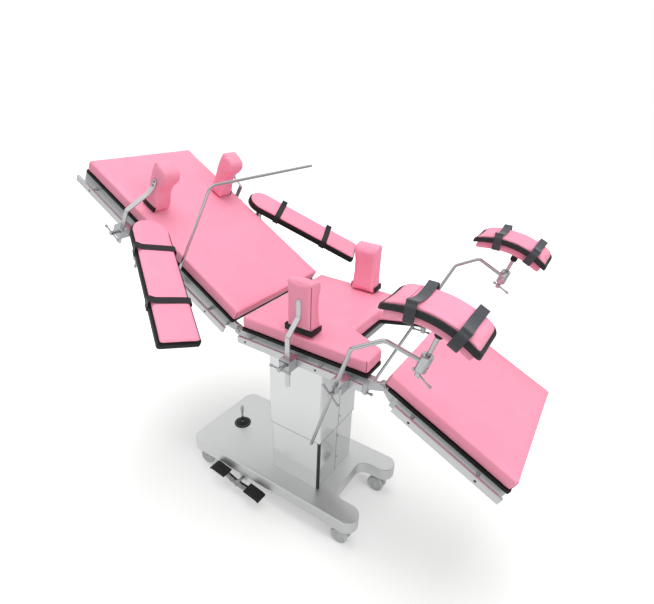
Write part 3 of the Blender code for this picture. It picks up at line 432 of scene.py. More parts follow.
upholstery = makeUpholstery()
seamWelt = makeSeam()
baseSheet = makeBrushedSheet("stainless sheet satin brushed", "#E0E1E1", 0.46, 0.05)
columnSheet = makeBrushedSheet("stainless sheet fine brushed", "#E4E5E5", 0.15, 0.04)
frameSteel = makeBrushedSheet("steel section ground", "#C8CACB", 0.46, 0.08, 0.0012)
railSteel = makeBrushedSheet("stainless bar drawn", "#D6D8D9", 0.36, 0.06, 0.0008)
# Blackened steel for the screws and seams; the same dark also makes the column's corner strip, a painted reflection.
blackenedSteelAndPaintedReflection = makeBrushedSheet("steel trim oxide blackened, also painted reflection", "#4A4B4D", 0.4, 0.06)
chromePlate = makeChrome("chrome plate on steel", "#C3C5C7", 0.12)
castChrome = makeChrome("chrome plate on castings", "#B9BBBD", 0.17, 0.0009)
boardPlastic = makeBoardPlastic()
treadRubber = makeRubber("nitrile rubber moulded", "#101011", "#1B1B1C", 0.62)
hoodPlastic = makeRubber("nylon caster head moulded", "#161617", "#202022", 0.5)
tyreRubber = makeRubber("grey thermoplastic tyre moulded", "#CBCCCD", "#BDBEC0", 0.55)
webbing = makeWebbing("polypropylene webbing woven", "#17181A", "#2A2B2E", 0.10)
# The leg straps' webbing is a lighter copy of the webbing above: painted sheen, standing for the grey their tops show
# in the light.
sheenLitWebbing = makeWebbing("webbing woven, lighter for painted sheen", "#393B40", "#5C5F65", 0.30)
rockerPaint = makePaint("powder coat silver baked", "#9FA0A2", 0.4)
print("materials ready")


# Camera: the photograph's place and angle

cameraView = {"place": (0.8991, -1.2694, 1.66), "yaw": 0.5544, "pitch": 0.4466, "roll": -0.0413, "lens": 24.88}


def makeCamera(look):
    yaw, pitch, roll = look["yaw"], look["pitch"], look["roll"]
    forward = Vector((-math.sin(yaw) * math.cos(pitch), math.cos(yaw) * math.cos(pitch), -math.sin(pitch)))
    right = Vector((math.cos(yaw), math.sin(yaw), 0))
    down = forward.cross(right)
    rightRolled = right * math.cos(roll) + down * math.sin(roll)
    downRolled = down * math.cos(roll) - right * math.sin(roll)
    turned = Matrix((rightRolled, -downRolled, -forward)).transposed().to_4x4()
    data = bpy.data.cameras.new("camera")
    data.sensor_fit = "HORIZONTAL"
    data.sensor_width = 36
    data.lens = look["lens"]
    camera = bpy.data.objects.new("camera", data)
    camera.matrix_world = Matrix.Translation(Vector(look["place"])) @ turned
    bpy.context.scene.collection.objects.link(camera)
    bpy.context.scene.camera = camera


makeCamera(cameraView)


# Room: white surround, pale floor, soft lamps. The metal mirrors a painted reflection: glossy rays see a world that is
# brighter towards the light and darker at the horizon, and a floor that glows.

roomLook = {
    "world": 0.31, "floor": "#F6F6F5", "floorDrift": "#F4F4F3", "floorSize": 14,
    "lit": (-0.45, -0.10, 0.88), "paintedReflection": (0.52, 1.0, -0.35, 0.85), "paintedHorizonShade": (0.22, 1.0, 0.02, 0.24),
    "runOut": (0.24, 0.9, 0.7, 4.0), "mirrored": (0.72, 0.94, 0.35, 0.80), "paintedLitSide": (0.62, 1.0, -1.2, 0.4),
}
lampLook = {
    "key": {"place": (0.1, 0.0, 5.2), "target": (0, 0, 0.7), "size": (3.4, 3.4), "energy": 142},
    "head": {"place": (-3.2, -0.4, 1.9), "target": (0, 0, 0.8), "size": (2.2, 2.0), "energy": 30},
    "fill": {"place": (3.4, -1.0, 2.7), "target": (0.3, 0, 0.7), "size": (2.6, 2.2), "energy": 56},
    "front": {"place": (0.6, -3.6, 2.2), "target": (0, 0, 0.8), "size": (2.4, 1.6), "energy": 16},
}


def addLamp(name, place, target, size, energy):
    data = bpy.data.lights.new(name, "AREA")
    data.shape = "RECTANGLE"
    data.size, data.size_y = size
    data.energy = energy
    lamp = bpy.data.objects.new(name, data)
    lamp.location = place
    aim = Vector(target) - Vector(place)
    lamp.rotation_euler = aim.to_track_quat("-Z", "Y").to_euler()
    lamp.visible_glossy = False    # the metal mirrors only the painted reflections of the world and the floor
    bpy.context.scene.collection.objects.link(lamp)


def makeWorld(look):
    world = bpy.data.worlds.new("room")
    bpy.context.scene.world = world
    world.use_nodes = True
    path = addNode(world, "LightPath")
    place = addNode(world, "TexCoord")
    # Glossy rays see a painted reflection: brighter towards the lit direction, with a painted dark band near the
    # horizon. Other rays see an even world, and the camera sees white.
    towards = addNode(world, "VectorMath", {"operation": "DOT_PRODUCT", 1: look["lit"]},
        {0: place.outputs["Generated"]})
    sheen = addNode(world, "MapRange", spanOf(*look["paintedReflection"]), {"Value": towards.outputs["Value"]})
    split = addNode(world, "SeparateXYZ", {}, {0: place.outputs["Generated"]})
    above = addNode(world, "MapRange", {"interpolation_type": "SMOOTHSTEP", **spanOf(*look["paintedHorizonShade"])},
        {"Value": split.outputs["Z"]})
    paintedReflection = addNode(world, "Math", {"operation": "MULTIPLY"},
        {0: sheen.outputs["Result"], 1: above.outputs["Result"]})
    gloss = addNode(world, "Mix", {2: look["world"]}, {0: path.outputs["Is Glossy Ray"], 3: paintedReflection.outputs["Value"]})
    seen = addNode(world, "Mix", {3: 1.0}, {0: path.outputs["Is Camera Ray"], 2: gloss.outputs[0]})
    world.node_tree.links.new(seen.outputs[0], world.node_tree.nodes["Background"].inputs["Strength"])
    world.node_tree.nodes["Background"].inputs["Color"].default_value = (1, 1, 1, 1)


def makeFloor(look):    # pale paper that runs out to white before its far edge shows
    bm = bmesh.new()
    bmesh.ops.create_grid(bm, x_segments=2, y_segments=2, size=look["floorSize"])
    floor = makeObject("floor", bm)
    material, shader = startMaterial("paper backdrop rolled", look["floor"], 0.9)
    drift, place = colourDrift(material, look["floor"], look["floorDrift"], 800)
    path = addNode(material, "LightPath")
    far = addNode(material, "VectorMath", {"operation": "LENGTH"}, {0: place.outputs["Object"]})
    out = addNode(material, "MapRange", spanOf(*look["runOut"]), {"Value": far.outputs["Value"]})
    seen = addNode(material, "Math", {"operation": "MULTIPLY"},
        {0: path.outputs["Is Camera Ray"], 1: out.outputs["Result"]})
    shader.inputs["Emission Color"].default_value = (1, 1, 1, 1)
    feed(material, shader, Base_Color=drift.outputs[2], Emission_Strength=seen.outputs["Value"])
    # Glossy rays see the floor glow instead: a painted reflection, brighter towards the front left and darker near the
    # object as a painted shadow.
    mirrored = addNode(material, "MapRange", spanOf(*look["mirrored"]), {"Value": far.outputs["Value"]})
    tilt = addNode(material, "VectorMath", {"operation": "DOT_PRODUCT", 1: (-0.7, -0.7, 0)},
        {0: place.outputs["Object"]})
    paintedLitSide = addNode(material, "MapRange", spanOf(*look["paintedLitSide"]), {"Value": tilt.outputs["Value"]})
    pale = addNode(material, "Math", {"operation": "MULTIPLY"},
        {0: mirrored.outputs["Result"], 1: paintedLitSide.outputs["Result"]})
    paintedReflectionGlow = addNode(material, "Emission", {}, {"Strength": pale.outputs["Value"]})
    pick = addNode(material, "MixShader", {},
        {0: path.outputs["Is Glossy Ray"], 1: shader.outputs["BSDF"], 2: paintedReflectionGlow.outputs["Emission"]})
    material.node_tree.links.new(pick.outputs[0], material.node_tree.nodes["Material Output"].inputs["Surface"])
    floor.data.materials.append(material)


makeWorld(roomLook)
makeFloor(roomLook)
for name, lamp in lampLook.items():
    addLamp(name, **lamp)
bpy.context.scene.view_settings.view_transform = "Standard"
print("camera and room ready")


# Soft pass shared by all pads: remesh, swell under pressure, cap the swelling, smooth.

def smoothLine(points, steps=6):
    points = [Vector(point) for point in points]
    padded = [points[0] * 2 - points[1]] + points + [points[-1] * 2 - points[-2]]
    line = []
    for before, start, end, after in zip(padded, padded[1:], padded[2:], padded[3:]):
        for step in range(steps):
            t = step / steps
            line.append((start * 2 + (end - before) * t + (before * 2 - start * 5 + end * 4 - after) * t ** 2
                         + (start * 3 - before - end * 3 + after) * t ** 3) / 2)
    line.append(points[-1])
    return [tuple(point) for point in line]


def remeshPiece(piece, voxel):
    remesh = piece.modifiers.new("remesh", "REMESH")
    remesh.mode = "VOXEL"
    remesh.voxel_size = voxel
    return applyModifiers(piece)


swellLook = {"pressure": 4.0, "quality": 4, "frames": 20}


def swell(jobs, look):    # a job is a piece, its voxel size, the cap on its swelling and, at times, its floor
    for job in jobs:
        piece = remeshPiece(job["piece"], job["voxel"])
        job["rest"] = [vertex.co.copy() for vertex in piece.data.vertices]
        cloth = piece.modifiers.new("cloth", "CLOTH")
        cloth.settings.use_pressure = True
        cloth.settings.uniform_pressure_force = look["pressure"]
        cloth.settings.effector_weights.gravity = 0
        cloth.settings.quality = look["quality"]
        cloth.point_cache.frame_start = 1
        cloth.point_cache.frame_end = look["frames"]
    for step in range(1, look["frames"] + 1):
        bpy.context.scene.frame_set(step)
    for job in jobs:
        applyModifiers(job["piece"])
    bpy.context.scene.frame_set(1)
    for job in jobs:
        for vertex, rest in zip(job["piece"].data.vertices, job["rest"]):
            move = vertex.co - rest
            if move.length > job["cap"]:
                move *= job["cap"] / move.length
            vertex.co = rest + move
            vertex.co.z = max(vertex.co.z, job.get("floor", -10))
        smooth = job["piece"].modifiers.new("smooth", "SUBSURF")
        smooth.levels = smooth.render_levels = 1
        applyModifiers(job["piece"])
        print("swelled", job["piece"].name, len(job["piece"].data.vertices))


def pucker(piece, box, height, reach=0.035, wave=0.030):    # small gathers along the edges of a slab
    moved = []
    for vertex in piece.data.vertices:
        spot = vertex.co
        edge = min(abs(spot.x - box[0][0]), abs(spot.x - box[1][0]), abs(spot.y - box[0][1]), abs(spot.y - box[1][1]))
        gather = noise.noise(Vector((spot.x / wave, spot.y / wave, 0.3)))
        moved.extend(spot + vertex.normal * gather * height * math.exp(-edge / reach))
    piece.data.vertices.foreach_set("co", moved)


# Seat, back and leg cushions

cushionLook = {"inset": 0.0015, "edge": 0.0055, "voxel": 0.0055, "cap": 0.0030, "pucker": 0.0005}
seatShape = {
    "head": -0.1465, "foot": 0.350, "half": 0.250, "cutX": 0.225, "cutHalf": 0.0913, "mouth": 0.1524, "low": 0.885,
    "top": 0.933,
}
backShape = {"head": -0.8893, "foot": -0.0270, "half": 0.250, "low": 0.020, "top": 0.068}
legShape = {"head": -0.006, "foot": 0.438, "half": 0.250, "low": 0.0153, "top": 0.060}


def seatLine(inset):
    s = seatShape
    head, foot, half = s["head"] + inset, s["foot"] - inset, s["half"] - inset
    corners = [(head, -half), (foot, -half), (foot, -s["mouth"] - inset), (s["cutX"] - inset, -s["cutHalf"] - inset)]
    corners += [(x, -y) for x, y in reversed(corners)]
    return roundedOutline(corners, [0.007, 0.007, 0.010, 0.014, 0.014, 0.010, 0.007, 0.007], 4)


def slabLine(shape, inset):
    half = shape["half"] - inset
    return roundedOutline(rectangleOf((shape["head"] + inset, -half), (shape["foot"] - inset, half)), 0.007, 4)


softJobs = []


def softenLater(pad, edge, voxel, cap, segments=3, **more):
    softJobs.append({"piece": bevelEdges(pad, edge, segments, 50), "voxel": voxel, "cap": cap, **more})


cushions = {
    "seat": (seatFrame, seatShape, seatLine(cushionLook["inset"])),
    "back": (backFrame, backShape, slabLine(backShape, cushionLook["inset"])),
    "leg": (legFrame, legShape, slabLine(legShape, cushionLook["inset"])),
}
for part, (matrix, shape, outline) in cushions.items():
    slab = prismOf(part + "_upholstery", outline, shape["low"], shape["top"] - cushionLook["cap"])
    softenLater(slab, cushionLook["edge"], cushionLook["voxel"], cushionLook["cap"], 4, floor=shape["low"])


# Armboard pads, shoulder and hip pads, leg support pads: their starting shapes

armLook = {
    "start": 0.420, "y": 0.305, "lift": 0.004, "turn": 26.8, "half": 0.0665, "long": 0.480, "board": 0.022,
    "pad": 0.010, "straps": (0.085, 0.320),
}
shoulderLook = {
    "start": 0.560, "inner": 0.130, "outer": 0.205, "lift": 0.004, "plate": 0.0008, "strip": 0.021,
    "screws": (0.108, 0.124),
}
hipLook = {
    "x": (0.040, 0.142), "z": (0.940, 1.122), "inner": 0.186, "outer": 0.240, "band": 0.022, "wall": 0.0020,
    "proud": 0.0024, "cover": 0.0032,
}
saddleLook = {
    "long": 0.272, "wide": 0.136, "arch": 0.036, "dip": 0.009, "base": {"near": 0.113, "far": 0.098}, "corner": 0.017,
    "trim": 0.012, "move": -0.021, "band": (0.0215, 0.0405), "straps": (-0.068, 0.047), "seam": -0.096,
}


def armLine(inset, steps=12):
    a = armLook
    half = a["half"] - inset
    corners = rectangleOf((-half, -half), (a["long"] - inset, half))
    return roundedOutline(corners, [half - 0.0005, 0.010, 0.010, half - 0.0005], steps)


def shoulderLine(x, low):
    foot, head = x + 0.031, x - 0.035
    return smoothLine([
        (foot, low), (foot + 0.001, low + 0.030), (foot - 0.007, low + 0.065), (foot - 0.009, low + 0.085),
        (foot - 0.003, low + 0.108), (foot + 0.006, low + 0.130), (foot + 0.009, low + 0.150),
        (foot + 0.004, low + 0.166), (foot - 0.010, low + 0.178), (head + 0.020, low + 0.186),
        (head + 0.006, low + 0.184), (head + 0.001, low + 0.172), (head - 0.001, low + 0.120),
        (head + 0.003, low + 0.060), (head, low),
    ])


def hipLine():
    low, high = hipLook["z"]
    inner, outer = hipLook["inner"], hipLook["outer"] - 0.001
    curve = smoothLine([
        (outer - 0.004, high), (inner + 0.018, high - 0.003), (inner + 0.004, high - 0.012), (inner, high - 0.030),
        (inner + 0.004, high - 0.075), (inner + 0.003, high - 0.120), (inner - 0.004, low + 0.020),
        (inner - 0.006, low),
    ])
    return [(outer, low), (outer, high - 0.004)] + curve


def saddleHeight(u, v):
    s = saddleLook
    return -s["arch"] * (2 * u / s["long"]) ** 2 + s["dip"] * (2 * v / s["wide"]) ** 2


def saddleLine(grow, steps=10):
    u, v = saddleLook["long"] / 2 + grow - saddleLook["trim"], saddleLook["wide"] / 2 + grow
    move = saddleLook["move"]
    return roundedOutline(rectangleOf((move - u, -v), (move + u, v)), saddleLook["corner"] + grow, steps)


for name, side in sides.items():
    thick = armLook["board"] + hair
    pad = prismOf("armboard_upholstery_" + name, armLine(0.0035), thick, thick + armLook["pad"] - 0.001)
    softenLater(pad, 0.004, 0.004, 0.0022, 2, floor=thick)

    bottom = backShape["top"] + shoulderLook["lift"] + shoulderLook["plate"]
    line = shoulderLine(onBack(shoulderLook["start"]), bottom - shoulderLook["plate"])
    line = [(u, max(v, bottom)) for u, v in line]
    ends = shoulderLook["inner"] + 0.003, shoulderLook["outer"] - 0.003
    softenLater(prismOf("shoulder_upholstery_" + name, line, *ends, "y"), 0.005, 0.0045, 0.0035, floor=bottom)

    ends = hipLook["x"][0] + 0.003, hipLook["x"][1] - 0.003
    softenLater(prismOf("hip_upholstery_" + name, hipLine(), *ends, "x"), 0.005, 0.0045, 0.0030,
        floor=hipLook["z"][0])

    softenLater(prismOf("leg_upholstery_" + name, saddleLine(-0.004), 0.030, 0.0495), 0.006, 0.0045, 0.0030)
    softenLater(prismOf("leg_underside_" + name, saddleLine(-0.010), 0.003, 0.030), 0.010, 0.0050, 0.0030)

swell(softJobs, swellLook)
pads = {job["piece"].name: job["piece"] for job in softJobs}
print("soft pass done")


def dressPad(piece, matrix, body, nodes=()):
    fit(carry(piece, matrix), upholstery, body, nodes, 180)


def seamAlong(piece, spot, aim, ends, count=9):    # a sewn corner, laid on the padded surface
    aim = Vector(aim).normalized()
    line = []
    for k in range(count):
        height = ends[0] + (ends[1] - ends[0]) * k / (count - 1)
        start = Vector((spot[0], spot[1], height)) - aim * 0.03
        found, place, normal, face = piece.ray_cast(start, aim)
        if found:
            line.append(place + aim * 0.0003)
    return tubeAlong("seam", line, 0.0014, 2)


def seamAcross(piece, spot, reach, count=15):    # the same, over a pad that still lies flat
    line = []
    for k in range(count):
        start = Vector((spot, reach * (2 * k / (count - 1) - 1), 0.1))
        found, place, normal, face = piece.ray_cast(start, Vector((0, 0, -1)))
        if found:
            line.append(place - Vector((0, 0, 0.0002)))
    return tubeAlong("seam", line, 0.0008, 2)


def slabCorners(shape):
    return [(x, y) for x in (shape["head"], shape["foot"]) for y in (-shape["half"], shape["half"])]


mouthCorner = seatShape["foot"], seatShape["mouth"]
seamSpots = {
    "seat": [(x, side * y) for side in (-1, 1) for x, y in (*slabCorners(seatShape)[1::2], mouthCorner)],
    "back": slabCorners(backShape),
    "leg": slabCorners(legShape),
}
for part, (matrix, shape, outline) in cushions.items():
    piece = pads[part + "_upholstery"]
    middle = (shape["head"] + shape["foot"]) / 2
    seams = []
    for x, y in seamSpots[part]:
        aim = (math.copysign(1, middle - x), -math.copysign(1, y) if abs(y) > 0.2 else math.copysign(1, y), 0)
        seams.append(seamAlong(piece, (x, y), aim, (shape["low"] + 0.003, shape["top"] - 0.005)))
    fit(carry(joinPieces(part + "_seams", seams), matrix), seamWelt, part, (), 60)
    pucker(piece, ((shape["head"], -shape["half"]), (shape["foot"], shape["half"])), cushionLook["pucker"])
    dressPad(piece, matrix, part, (part + "_cushion",))
print("cushions dressed")


# Armboards: board, pad and two webbing straps each

def armFrame(side):
    a = armLook
    place = Matrix.Translation((onBack(a["start"]), side * a["y"], backShape["top"] + a["lift"]))
    return backFrame @ place @ turnBy(side * a["turn"], "Z")


def armStrap(name, at, side):    # a loop with a little slack over the pad and a fold at the outer edge
    half, top = armLook["half"], armLook["board"] + armLook["pad"]
    out = side * (half + 0.0016)
    lean = side * (half - 0.006)
    path = [
        (out, 0.006), (out, 0.020), (out * 1.03, 0.030), (side * (half + 0.004), 0.040),
        (side * (half - 0.004), 0.0435), (lean - side * 0.016, top + 0.0042), (side * 0.024, top + 0.0036),
        (0, top + 0.0034), (-side * 0.024, top + 0.0034), (-side * (half - 0.014), top + 0.0030),
        (-side * (half - 0.002), top + 0.0010), (-out, top - 0.006), (-out, 0.010), (-out * 0.995, -0.0006),
        (-side * (half - 0.006), -0.0019), (0, -0.0021), (lean, -0.0019), (out * 0.995, -0.0004),
    ]
    loop = smoothLine([(y, z) for y, z in path + path[:1]], 5)[:-1]
    return ribbonAlong(name, [(at, y, z) for y, z in loop], (1, 0, 0), 0.025, 0.0014, True)


for name, side in sides.items():
    body, place = "armboard_" + name, armFrame(side)
    board = bevelEdges(prismOf("armboard_board_" + name, armLine(0.0), 0, armLook["board"]), 0.004, 4, 50)
    fit(carry(board, place), boardPlastic, body, ("armboard_" + name,))
    dressPad(pads["armboard_upholstery_" + name], place, body, ("armboard_pad_" + name,))
    straps = [armStrap("strap", at, side) for at in armLook["straps"]]
    straps = joinPieces("armboard_webbing_" + name, straps)
    fit(carry(straps, place), webbing, body, ("armboard_straps_" + name,), 60)
print("armboards dressed")


# Screw heads: their half sections, domed, slotted and countersunk

screwHeads = {
    "shoulder": [(0, 0.0016), (0.0020, 0.0015), (0.0034, 0.0009), (0.0040, 0.0), (0, 0.0)],
    "column": [
        (0, 0.0012), (0.0012, 0.0012), (0.0014, 0.0004), (0.0016, 0.0012), (0.0024, 0.0011), (0.0030, 0.0004),
        (0.0031, -0.0004), (0, -0.0004),
    ],
    "rail": [
        (0, 0.0002), (0.0011, 0.0002), (0.0013, 0.0007), (0.0030, 0.0009), (0.0038, 0.0005), (0.0040, -0.0003),
        (0, -0.0003),
    ],
}


def screwHead(kind, place, turn, steps=24):
    return carry(turnedPiece("screw", screwHeads[kind], steps), Matrix.Translation(place) @ turn)


# Flat bars with rounded tips, bent over their clamps

def barPiece(name, line, x, wide=0.018, thick=0.005, bend=0.012):
    bent = bentLine([(x, y, z) for y, z in line], bend, 8)
    dense = []
    for start, end in zip(bent, bent[1:]):
        count = max(1, round((end - start).length / 0.02))
        dense += [start.lerp(end, k / count) for k in range(count)]
    dense.append(bent[-1])
    radius = wide / 2
    arc = [radius * (1 - math.cos(math.pi / 2 * k / 8)) for k in range(1, 9)]
    ahead, behind = (dense[-2] - dense[-1]).normalized(), (dense[1] - dense[0]).normalized()
    trunk = [point for point in dense if (point - dense[0]).length > radius and (point - dense[-1]).length > radius]
    first = [dense[0] + behind * max(step, 0.0001) for step in arc]
    last = [dense[-1] + ahead * max(step, 0.0001) for step in reversed(arc)]
    points = first + trunk + last

    def width(step):
        return 2 * math.sqrt(max(radius ** 2 - (radius - step) ** 2, 0.0))

    widths = [width(step) for step in arc] + [wide] * len(trunk) + [width(step) for step in reversed(arc)]
    bar = ribbonAlong(name, points, (1, 0, 0), widths, thick)
    return bevelEdges(bar, 0.0009, 2, 60)


# Shoulder rests: pad on a black base strip, carried by a bent bar

for name, side in sides.items():
    body = "shoulder_rest_" + name
    mirror = backFrame @ Matrix.Scale(side, 4, (0, 1, 0))
    x, top = onBack(shoulderLook["start"]), backShape["top"]
    dressPad(pads["shoulder_upholstery_" + name], mirror, body, ("shoulder_pad_" + name,))
    out = shoulderLook["outer"]
    strip = [
        (x - 0.034, out - 0.014), (x - 0.034, out + 0.0007), (x + 0.0315, out + 0.0007), (x + 0.0315, out - 0.006),
        (x + 0.030, out - 0.006), (x + 0.030, out - 0.0008), (x - 0.0325, out - 0.0008), (x - 0.0325, out - 0.014),
    ]
    strip = prismOf("shoulder_strip_" + name, strip, top + 0.0042, top + 0.0042 + shoulderLook["strip"])
    strip = bevelEdges(strip, 0.0005, 2, 50)
    fit(carry(strip, mirror), boardPlastic, body)
    line = [
        (0.300, top - 0.150), (0.300, top + 0.010), (out + 0.020, top + 0.072), (out + 0.0035, top + 0.100),
        (out + 0.0035, top + 0.135),
    ]
    bar = barPiece("shoulder_flat_" + name, line, x)
    spots = [(x, out + 0.0060, top + height) for height in shoulderLook["screws"]]
    screws = joinPieces("shoulder_screws_" + name, [screwHead("shoulder", spot, turnBy(-90, "X")) for spot in spots])
    fit(carry(screws, mirror), blackenedSteelAndPaintedReflection, body)
    fit(carry(bar, mirror), railSteel, body, ("shoulder_bar_" + name,))
print("shoulder rests dressed")


# Hip supports: pad with a black band round its foot, carried by a bent bar

for name, side in sides.items():
    body = "hip_support_" + name
    mirror = seatFrame @ Matrix.Scale(side, 4, (0, 1, 0))
    low, high = hipLook["z"]
    inner, outer = hipLook["inner"], hipLook["outer"]
    corner, ends = (hipLook["x"][1], outer), (low + 0.026, high - 0.012)
    seam = seamAlong(pads["hip_upholstery_" + name], corner, (-1, -0.6, 0), ends, 14)
    fit(carry(seam, mirror), seamWelt, body, (), 60)
    dressPad(pads["hip_upholstery_" + name], mirror, body, ("hip_pad_" + name,))
    wall, head, foot = hipLook["wall"], hipLook["x"][0] - hipLook["proud"], hipLook["x"][1] + hipLook["proud"]
    outer += hipLook["cover"]
    band = [
        (head, inner + 0.004), (head, outer), (foot, outer), (foot, inner - 0.001), (foot - wall, inner - 0.001),
        (foot - wall, outer - wall), (head + wall, outer - wall), (head + wall, inner + 0.004),
    ]
    band = prismOf("hip_band_" + name, band, low + 0.0002, low + hipLook["band"])
    fit(carry(bevelEdges(band, 0.0005, 2, 50), mirror), boardPlastic, body)
    lay = hipLook["outer"] + 0.0025 + hair
    line = [(0.300, low - 0.175), (0.300, low + 0.012), (lay, low + 0.058), (lay, low + 0.122)]
    bar = barPiece("hip_flat_" + name, line, hipLook["x"][0] + 0.053)
    fit(carry(bar, mirror), railSteel, body, ("hip_bar_" + name,))
print("hip supports dressed")


# Leg supports: bent rod with socket, saddle pad, band, straps, stem

rodLook = {
    "radius": 0.0062, "clamp": (0.2940, 0.3240, 0.8620), "aim": (0.405, 0.325, 1.0), "below": 0.407, "above": 0.214,
    "elbow": (0.4570, 0.3750, 1.1020), "socket": (0.5560, 0.3530, 1.0630), "tilt": 16.5, "socketRadius": 0.0160,
    "socketHigh": 0.050, "bend": 0.022, "shift": {"near": -0.008, "far": 0.012},
}


def rodPoints(look, shift):
    aim, clamp = Vector(look["aim"]).normalized(), Vector(look["clamp"])
    socket, elbow = Vector(look["socket"]), Vector(look["elbow"])
    start = clamp - aim * (look["below"] / aim.z)
    inner = socket + (elbow - socket).normalized() * 0.010
    line = bentLine([start, clamp + aim * look["above"], elbow, inner], look["bend"], 14)
    return [point + Vector((shift, 0, 0)) for point in line]


def saddleSlices(piece):
    bm = bmesh.new()
    bm.from_mesh(piece.data)
    for axis, count, size in ((0, 26, saddleLook["long"]), (1, 12, saddleLook["wide"])):
        for k in range(1, count):
            middle = Vector((0, 0, 0))
            middle[axis] = (k / count - 0.5) * size
            normal = Vector((0, 0, 0))
            normal[axis] = 1
            bmesh.ops.bisect_plane(bm, geom=bm.verts[:] + bm.edges[:] + bm.faces[:], plane_co=middle, plane_no=normal)
    bm.to_mesh(piece.data)
    bm.free()
    return piece


def bendSaddle(piece, base, dish=1.0):
    for vertex in piece.data.vertices:
        vertex.co.z += saddleHeight(vertex.co.x, vertex.co.y * dish) + base
    return piece


def saddleStrap(name, at, base, width=0.027):
    edge = saddleLook["wide"] / 2
    over = []
    for k in range(13):
        v = edge * (1 - k / 6) * 0.97
        sag = 0.0045 - 0.0025 * math.cos(math.pi * v / edge / 1.1)
        over.append((v, saddleHeight(at, v) + 0.0522 + sag))
    rim = saddleHeight(at, edge)
    near = [
        (edge + 0.0075, rim + 0.004), (edge + 0.0056, rim + 0.011), (edge + 0.0043, rim + 0.020),
        (edge + 0.0046, rim + 0.038), (edge + 0.0014, rim + 0.0505),
    ]
    far = [(-v, z) for v, z in reversed(near)]
    far[-1] = (far[-1][0] + 0.006, far[-1][1] - 0.004)
    line = smoothLine(near + over + far, 4)
    slope = math.atan2(2 * saddleLook["arch"] * at * (2 / saddleLook["long"]) ** 2, 1.0)
    strap = ribbonAlong(name, [(0, v, z) for v, z in line], (1, 0, 0), width, 0.0014)
    middle = saddleHeight(at, 0) + 0.03
    lean = Matrix.Translation((at, 0, base + middle)) @ Matrix.Rotation(slope, 4, "Y")
    return carry(strap, lean @ Matrix.Translation((0, 0, -middle)))


def tommyBar(name, centre, back, ahead, turn):    # a bar with a knob at each end, through its screw's head
    profile = [
        (0, -back - 0.004), (0.0038, -back - 0.004), (0.0048, -back - 0.003), (0.0048, -back + 0.003),
        (0.0040, -back + 0.004), (0.0032, -back + 0.004),
    ]
    profile += [(r, -w + ahead - back) for r, w in reversed(profile)]
    bar = carry(turnedPiece(name, profile, 24), Matrix.Translation(centre) @ turnBy(90, "Y"))
    return carry(bar, Matrix.Translation(centre) @ turn @ Matrix.Translation(-Vector(centre)))


for name, side in sides.items():
    shift = rodLook["shift"][name]
    mirror = seatFrame @ Matrix.Scale(side, 4, (0, 1, 0))
    rod = tubeAlong("leg_tube_" + name, rodPoints(rodLook, shift), rodLook["radius"], 7)
    fit(carry(rod, mirror), chromePlate, "leg_rod_" + name, ("leg_rod_" + name,))
    spot = Vector(rodLook["socket"]) + Vector((shift, 0, 0))
    spot.y *= side
    stem = seatFrame @ Matrix.Translation(spot) @ turnBy(rodLook["tilt"], "Y")
    r, h = rodLook["socketRadius"], rodLook["socketHigh"] / 2
    barrel = [
        (0.0067, h - 0.001), (0.0077, h), (r - 0.002, h), (r - 0.0006, h - 0.0006), (r, h - 0.002), (r, 0.004),
        (r - 0.0008, 0.003), (r - 0.0008, -0.003), (r, -0.004), (r, -h + 0.002), (r - 0.0006, -h + 0.0006),
        (r - 0.002, -h), (0.0077, -h), (0.0067, -h + 0.001), (0.0067, h - 0.001),
    ]
    fit(carry(turnedPiece("leg_barrel_" + name, barrel, 64), stem), chromePlate, "leg_rod_" + name)
    screw = [
        (0, -h - 0.022), (0.0066, -h - 0.022), (0.0078, -h - 0.0208), (0.0078, -h - 0.0072), (0.0066, -h - 0.006),
        (0.0060, -h - 0.006), (0.0060, -h + 0.018), (0, -h + 0.020),
    ]
    screw = turnedPiece("leg_tommy_" + name, screw, 32)
    bar = tommyBar("bar", (0, 0, -h - 0.014), 0.018, 0.044, turnBy(-25, "Z"))
    screw = joinPieces("leg_tommy_" + name, [screw, bar])
    fit(carry(screw, stem), chromePlate, "leg_screw_" + name, ("leg_screw_" + name,))

    body, base = "leg_support_" + name, saddleLook["base"][name]
    seam = seamAcross(pads["leg_upholstery_" + name], saddleLook["seam"], 0.058)
    fit(carry(bendSaddle(seam, base), stem), seamWelt, body, (), 60)
    dressPad(bendSaddle(pads["leg_upholstery_" + name], base), stem, body, ("leg_pad_" + name,))
    dressPad(bendSaddle(pads["leg_underside_" + name], base, 0.6), stem, body)
    band = prismOf("leg_edge_" + name, saddleLine(0.0022), *saddleLook["band"])
    band = saddleSlices(bevelEdges(band, 0.0045, 4, 50))
    fit(carry(bendSaddle(band, base), stem), webbing, body, ("leg_band_" + name,), 50)
    straps = joinPieces("leg_webbing_" + name, [saddleStrap("strap", at, base) for at in saddleLook["straps"]])
    # The straps take the lighter webbing: painted sheen.
    fit(carry(straps, stem), sheenLitWebbing, body, (), 60)
    cap = [
        (0, base + 0.008), (0.0105, base + 0.008), (0.0115, base + 0.006), (0.0115, base - 0.026),
        (0.0105, base - 0.0285), (0.0066, base - 0.0295), (0.0066, base - 0.027),
    ]
    fit(carry(turnedPiece("leg_cap_" + name, cap, 40), stem), boardPlastic, body)
    pin = [
        (0, base + 0.004), (0.0065, base + 0.004), (0.0065, 0.006), (0.0055, 0.004), (0.0055, -0.0022), (0, -0.0030),
    ]
    fit(carry(turnedPiece("leg_pin_" + name, pin, 32), stem), chromePlate, body)
print("leg supports dressed")


# Screen rod: one bent chrome rod from the near clamp

screenLook = {
    "start": 0.265, "y": 0.290, "radius": 0.005, "elbow": 0.352, "reach": 0.535, "low": -0.058, "bend": 0.020,
}


